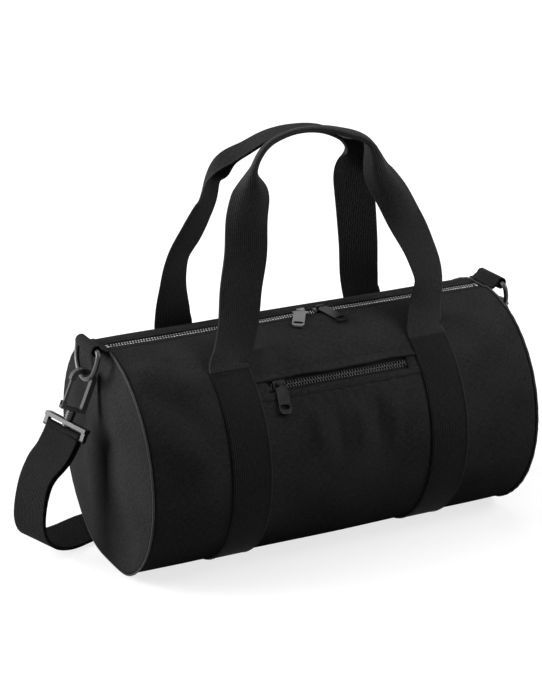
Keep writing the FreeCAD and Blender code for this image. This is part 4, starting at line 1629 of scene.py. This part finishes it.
@dataclass(frozen=True)
class ShoulderStrap:
    """The strap: one outer layer, the return to the adjuster, the folds round the bases and the tail.

    Each row of drop and middle is a place on its route and the width direction there.
    """

    palette: Palette
    webbing: Webbing = Webbing()
    rod: tuple[float, float, float] = (-0.2290286, 0.0, 0.1346921)
    down: tuple[float, float, float] = (-0.3971, 0.0, -0.9178)
    wide: tuple[float, float, float] = (-0.4309, 0.8829, 0.1864)
    fold_offset: float = 0.0034
    lay_offset: float = 0.00095
    ease: float = 0.110
    tail: float = 0.05
    drop: Rows = (
        (-0.2354, 0.0016, 0.1180, -0.43, 0.88, 0.19),
        (-0.2530, 0.0110, 0.0960, -0.30, 0.95, 0.12),
        (-0.2596, 0.0226, 0.0479, -0.41, 0.91, 0.11),
        (-0.2479, 0.0382, 0.0188, -0.48, 0.86, 0.14),
        (-0.2200, 0.0559, 0.0069, -0.43, 0.87, 0.25),
        (-0.1847, 0.0723, 0.0069, -0.31, 0.92, 0.24),
        (-0.152, 0.086, 0.0046, -0.16, 0.98, 0.10),
        (-0.105, 0.091, 0.00185, 0.0, 1.0, 0.0),
    )
    middle: Rows = (
        (-0.0926, 0.092, 0.00185, 0.0, 1.0, 0.0),
        (-0.0766, 0.092, 0.00505, 0.0, 1.0, 0.0),
        (-0.0394, 0.092, 0.00505, 0.0, 1.0, 0.0),
        (-0.0234, 0.092, 0.00185, 0.0, 1.0, 0.0),
        (0.030, 0.092, 0.00185, 0.0, 1.0, 0.0),
    )
    adjuster: tuple[float, float, float] = (-0.058, 0.092, 0.0117)
    adjuster_half: float = 0.024
    adjuster_turn: Rows = ((-0.012, 0, -0.0020), (-0.004, 0, 0), (0.001, 0, -0.0001), (0.0028, 0, -0.0018))

    def frames(self) -> tuple[Array, Array, Array]:
        """Points on the smooth line from left to right, with width and outward directions.

        Returns:
            The points and both directions at each.
        """
        left = np.array([(*self.rod, *self.wide), *self.drop])
        right = left[::-1] * (-1, 1, 1, -1, 1, 1)
        rows = np.concatenate([left, self.middle, right])
        line = curve_points(rows[:, :3], 8)
        along, sides = line_frame(line, carried(rows[:, :3], rows[:, 3:], line))
        return line, sides, np.cross(along, sides)

    def strip(self, name: str, line: Array, sides: Array, node: str) -> Piece:
        """One finished length of the strap's webbing."""
        return dressed(self.webbing.strip(name, line, sides), self.palette.webbing, node)

    def build(self, pieces: list[Piece]) -> None:
        """Args:
            pieces: the hooks, gates and bases at both ends; not used.
        """
        line, sides, normals = self.frames()
        gone = run_length(line)
        left = smooth(gone / self.ease)
        right = smooth((gone[-1] - gone) / self.ease)
        away = np.maximum(1 - left, 1 - right)[:, None]
        offset = self.lay_offset + (self.fold_offset - self.lay_offset) * away
        outer = line - normals * offset
        inner = line + normals * offset
        web = self.strip("strap_long", outer, sides, "strap_webbing")
        first_half = np.arange(len(line)) < len(line) // 2
        before = first_half & (line[:, 0] < self.adjuster[0] - self.adjuster_half)
        round_bar = np.array(self.adjuster) + self.adjuster_turn
        back = np.concatenate([inner[before], round_bar])
        back_sides = np.concatenate([sides[before], np.broadcast_to(Y_AXIS, round_bar.shape)])
        back_web = self.strip("strap_back", back, back_sides, "strap_return")
        end = int(np.searchsorted(gone, gone[-1] - self.tail))
        tail_web = self.strip("strap_end", inner[end:], sides[end:], "strap_tail")
        folds = [self.fold(side) for side in Side]
        buckle = moulded("strap_adjuster", "_moulded", 0.0007, self.palette.plastic)

    def fold(self, side: Side) -> Piece:
        """The half turn of webbing over a base's rod.

        Args:
            side: the end of the bag.

        Returns:
            The finished turn.
        """
        rod, down, wide = np.array([self.rod, self.down, self.wide]) * (-side.value, 1.0, 1.0)
        turn = np.radians(np.linspace(-8, 188, 22))[:, None]
        line = rod + self.fold_offset * (np.cos(turn) * np.cross(down, wide) - np.sin(turn) * down)
        return self.strip("strap_turn_" + side.word, line, wide, "strap_fold_" + side.word)


@dataclass(frozen=True)
class Studio:
    """A white floor, soft lamps and the camera."""

    eye: tuple[float, float, float] = (-0.82721, -1.67223, 0.81908)
    right: tuple[float, float, float] = (0.89962, -0.43635, -0.01660)
    up: tuple[float, float, float] = (0.15623, 0.28613, 0.94537)
    ahead: tuple[float, float, float] = (0.40776, 0.85307, -0.32559)
    lens: float = 113.245
    aim: tuple[float, float, float] = (0, 0, 0.12)
    floor_half: float = 12.0
    floor_z: float = -0.0004
    sky: float = 0.045

    def camera(self) -> None:
        """The camera at the photograph's viewpoint."""
        data = bpy.data.cameras.new("camera")
        data.lens = self.lens
        data.sensor_width = 36.0
        camera = placed("camera", data)
        axes = Matrix((Vector(self.right), Vector(self.up), -Vector(self.ahead))).transposed()
        camera.matrix_world = Matrix.Translation(Vector(self.eye)) @ axes.to_4x4()
        bpy.context.scene.camera = camera

    def lamp(self, name: str, place: Sequence[float], size: float, power: float) -> None:
        """A square soft lamp that faces the bag.

        Args:
            name: its name.
            place: its place.
            size: its width.
            power: its power in watts.
        """
        data = bpy.data.lights.new(name, "AREA")
        data.shape = "SQUARE"
        data.size = size
        data.energy = power
        lamp = placed(name, data)
        lamp.location = place
        lamp.rotation_mode = "QUATERNION"
        lamp.rotation_quaternion = (Vector(self.aim) - Vector(place)).to_track_quat("-Z", "Y")

    def floor(self) -> None:
        """A wide white floor that keeps the bag's shadow, with its glow painted dimmer near the bag as
        painted shade.
        """
        corners = np.array([(-1, -1, 0), (1, -1, 0), (1, 1, 0), (-1, 1, 0)]) * self.floor_half
        piece = build_mesh("floor", corners + (0, 0, self.floor_z), [(0, 1, 2, 3)])
        bench = Bench(bpy.data.materials.new("white_floor"))
        grey = (0.32, 0.32, 0.32, 1)
        shader = bench.out("BsdfPrincipled", Base_Color=grey, Specular_IOR_Level=0.0, Roughness=0.9)
        # Painted shade: the glow that the camera sees is dimmer near the bag and rises to nearly white
        # farther away.
        away = bench.add("VectorMath", bench.where(), operation="LENGTH").outputs["Value"]
        level = bench.step(away, 0.22, 0.9, 0.75, 0.97)
        glow = bench.out("Emission", Strength=bench.sum("MULTIPLY", bench.seen(), level))
        bench.add("OutputMaterial", bench.out("AddShader", shader, glow))
        piece.data.materials.append(bench.owner)

    def world(self) -> None:
        """Soft light from all round, white where the camera sees it."""
        bench = Bench(bpy.data.worlds.new("studio"))
        white = (1, 1, 1, 1)
        light = bench.out("Background", Color=white, Strength=self.sky)
        shown = bench.out("Background", Color=white)
        bench.add("OutputWorld", bench.out("MixShader", bench.seen(), light, shown))
        bpy.context.scene.world = bench.owner

    def build(self) -> None:
        """Set the whole studio up."""
        self.camera()
        self.floor()
        self.world()
        self.lamp("left_softbox", (-1.85, 0.75, 0.86), 1.2, 77)
        self.lamp("top_softbox", (0.1, 0.2, 2.2), 1.8, 27)
        self.lamp("right_softbox", (0.8, -0.56, 0.72), 0.5, 7.6)
        self.lamp("front_fill", (1.3, -1.7, 0.8), 1.2, 1.4)
        bpy.context.scene.view_settings.view_transform = "Standard"


def stitch_all(repeater: Repeater, thread: Finish, barrel: Barrel, carriers: Carriers) -> None:
    """Sew the stitching that shows on the bag.

    Args:
        repeater: sets the stitches.
        thread: their finish.
        barrel: has the hems.
        carriers: have the bands.
    """
    part = make_stitch(0.0026, 0.00032)
    hem_lines = [barrel.hem_line(edge) for edge in HEMS if not edge.flap]
    for name, lines, pitch, slot in (
        ("webbing_stitches", carriers.band_stitches(), 0.0034, Slot.WEBBING),
        ("canvas_stitches", hem_lines, 0.0030, Slot.CANVAS),
    ):
        dressed(repeater.along(name, lines, part, pitch, thread), replace(thread, slot=slot))
    bpy.data.objects.remove(part)


def main() -> None:
    """Build the bag and its studio."""
    logging.basicConfig(level=logging.INFO, format="%(message)s")
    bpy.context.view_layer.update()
    palette = Palette(*[look.finish() for look in LOOKS])
    form = BarrelForm()
    repeater = Repeater()
    Studio().build()
    ends = EndFittings(palette)
    hardware = [piece for side in Side for piece in ends.hardware(side)]
    ShoulderStrap(palette).build([piece for piece in hardware if not piece.name.startswith("d_ring")])
    barrel = Barrel(form, palette)
    barrel.wall()
    for side in Side:
        barrel.end(side)
        barrel.seam(side)
        ends.tab(side)
    for edge in HEMS:
        barrel.hem(edge)
    carriers = Carriers(form, palette)
    for side in Side:
        carriers.band(side)
    for word in HANDLE_LEGS:
        carriers.handle(word)
    Zips(form, palette, repeater).build()
    pocket = Pocket(form, palette)
    pocket.lining()
    for side in Side:
        pocket.tab(side)
    stitch_all(repeater, palette.thread, barrel, carriers)


if __name__ == "__main__":
    main()
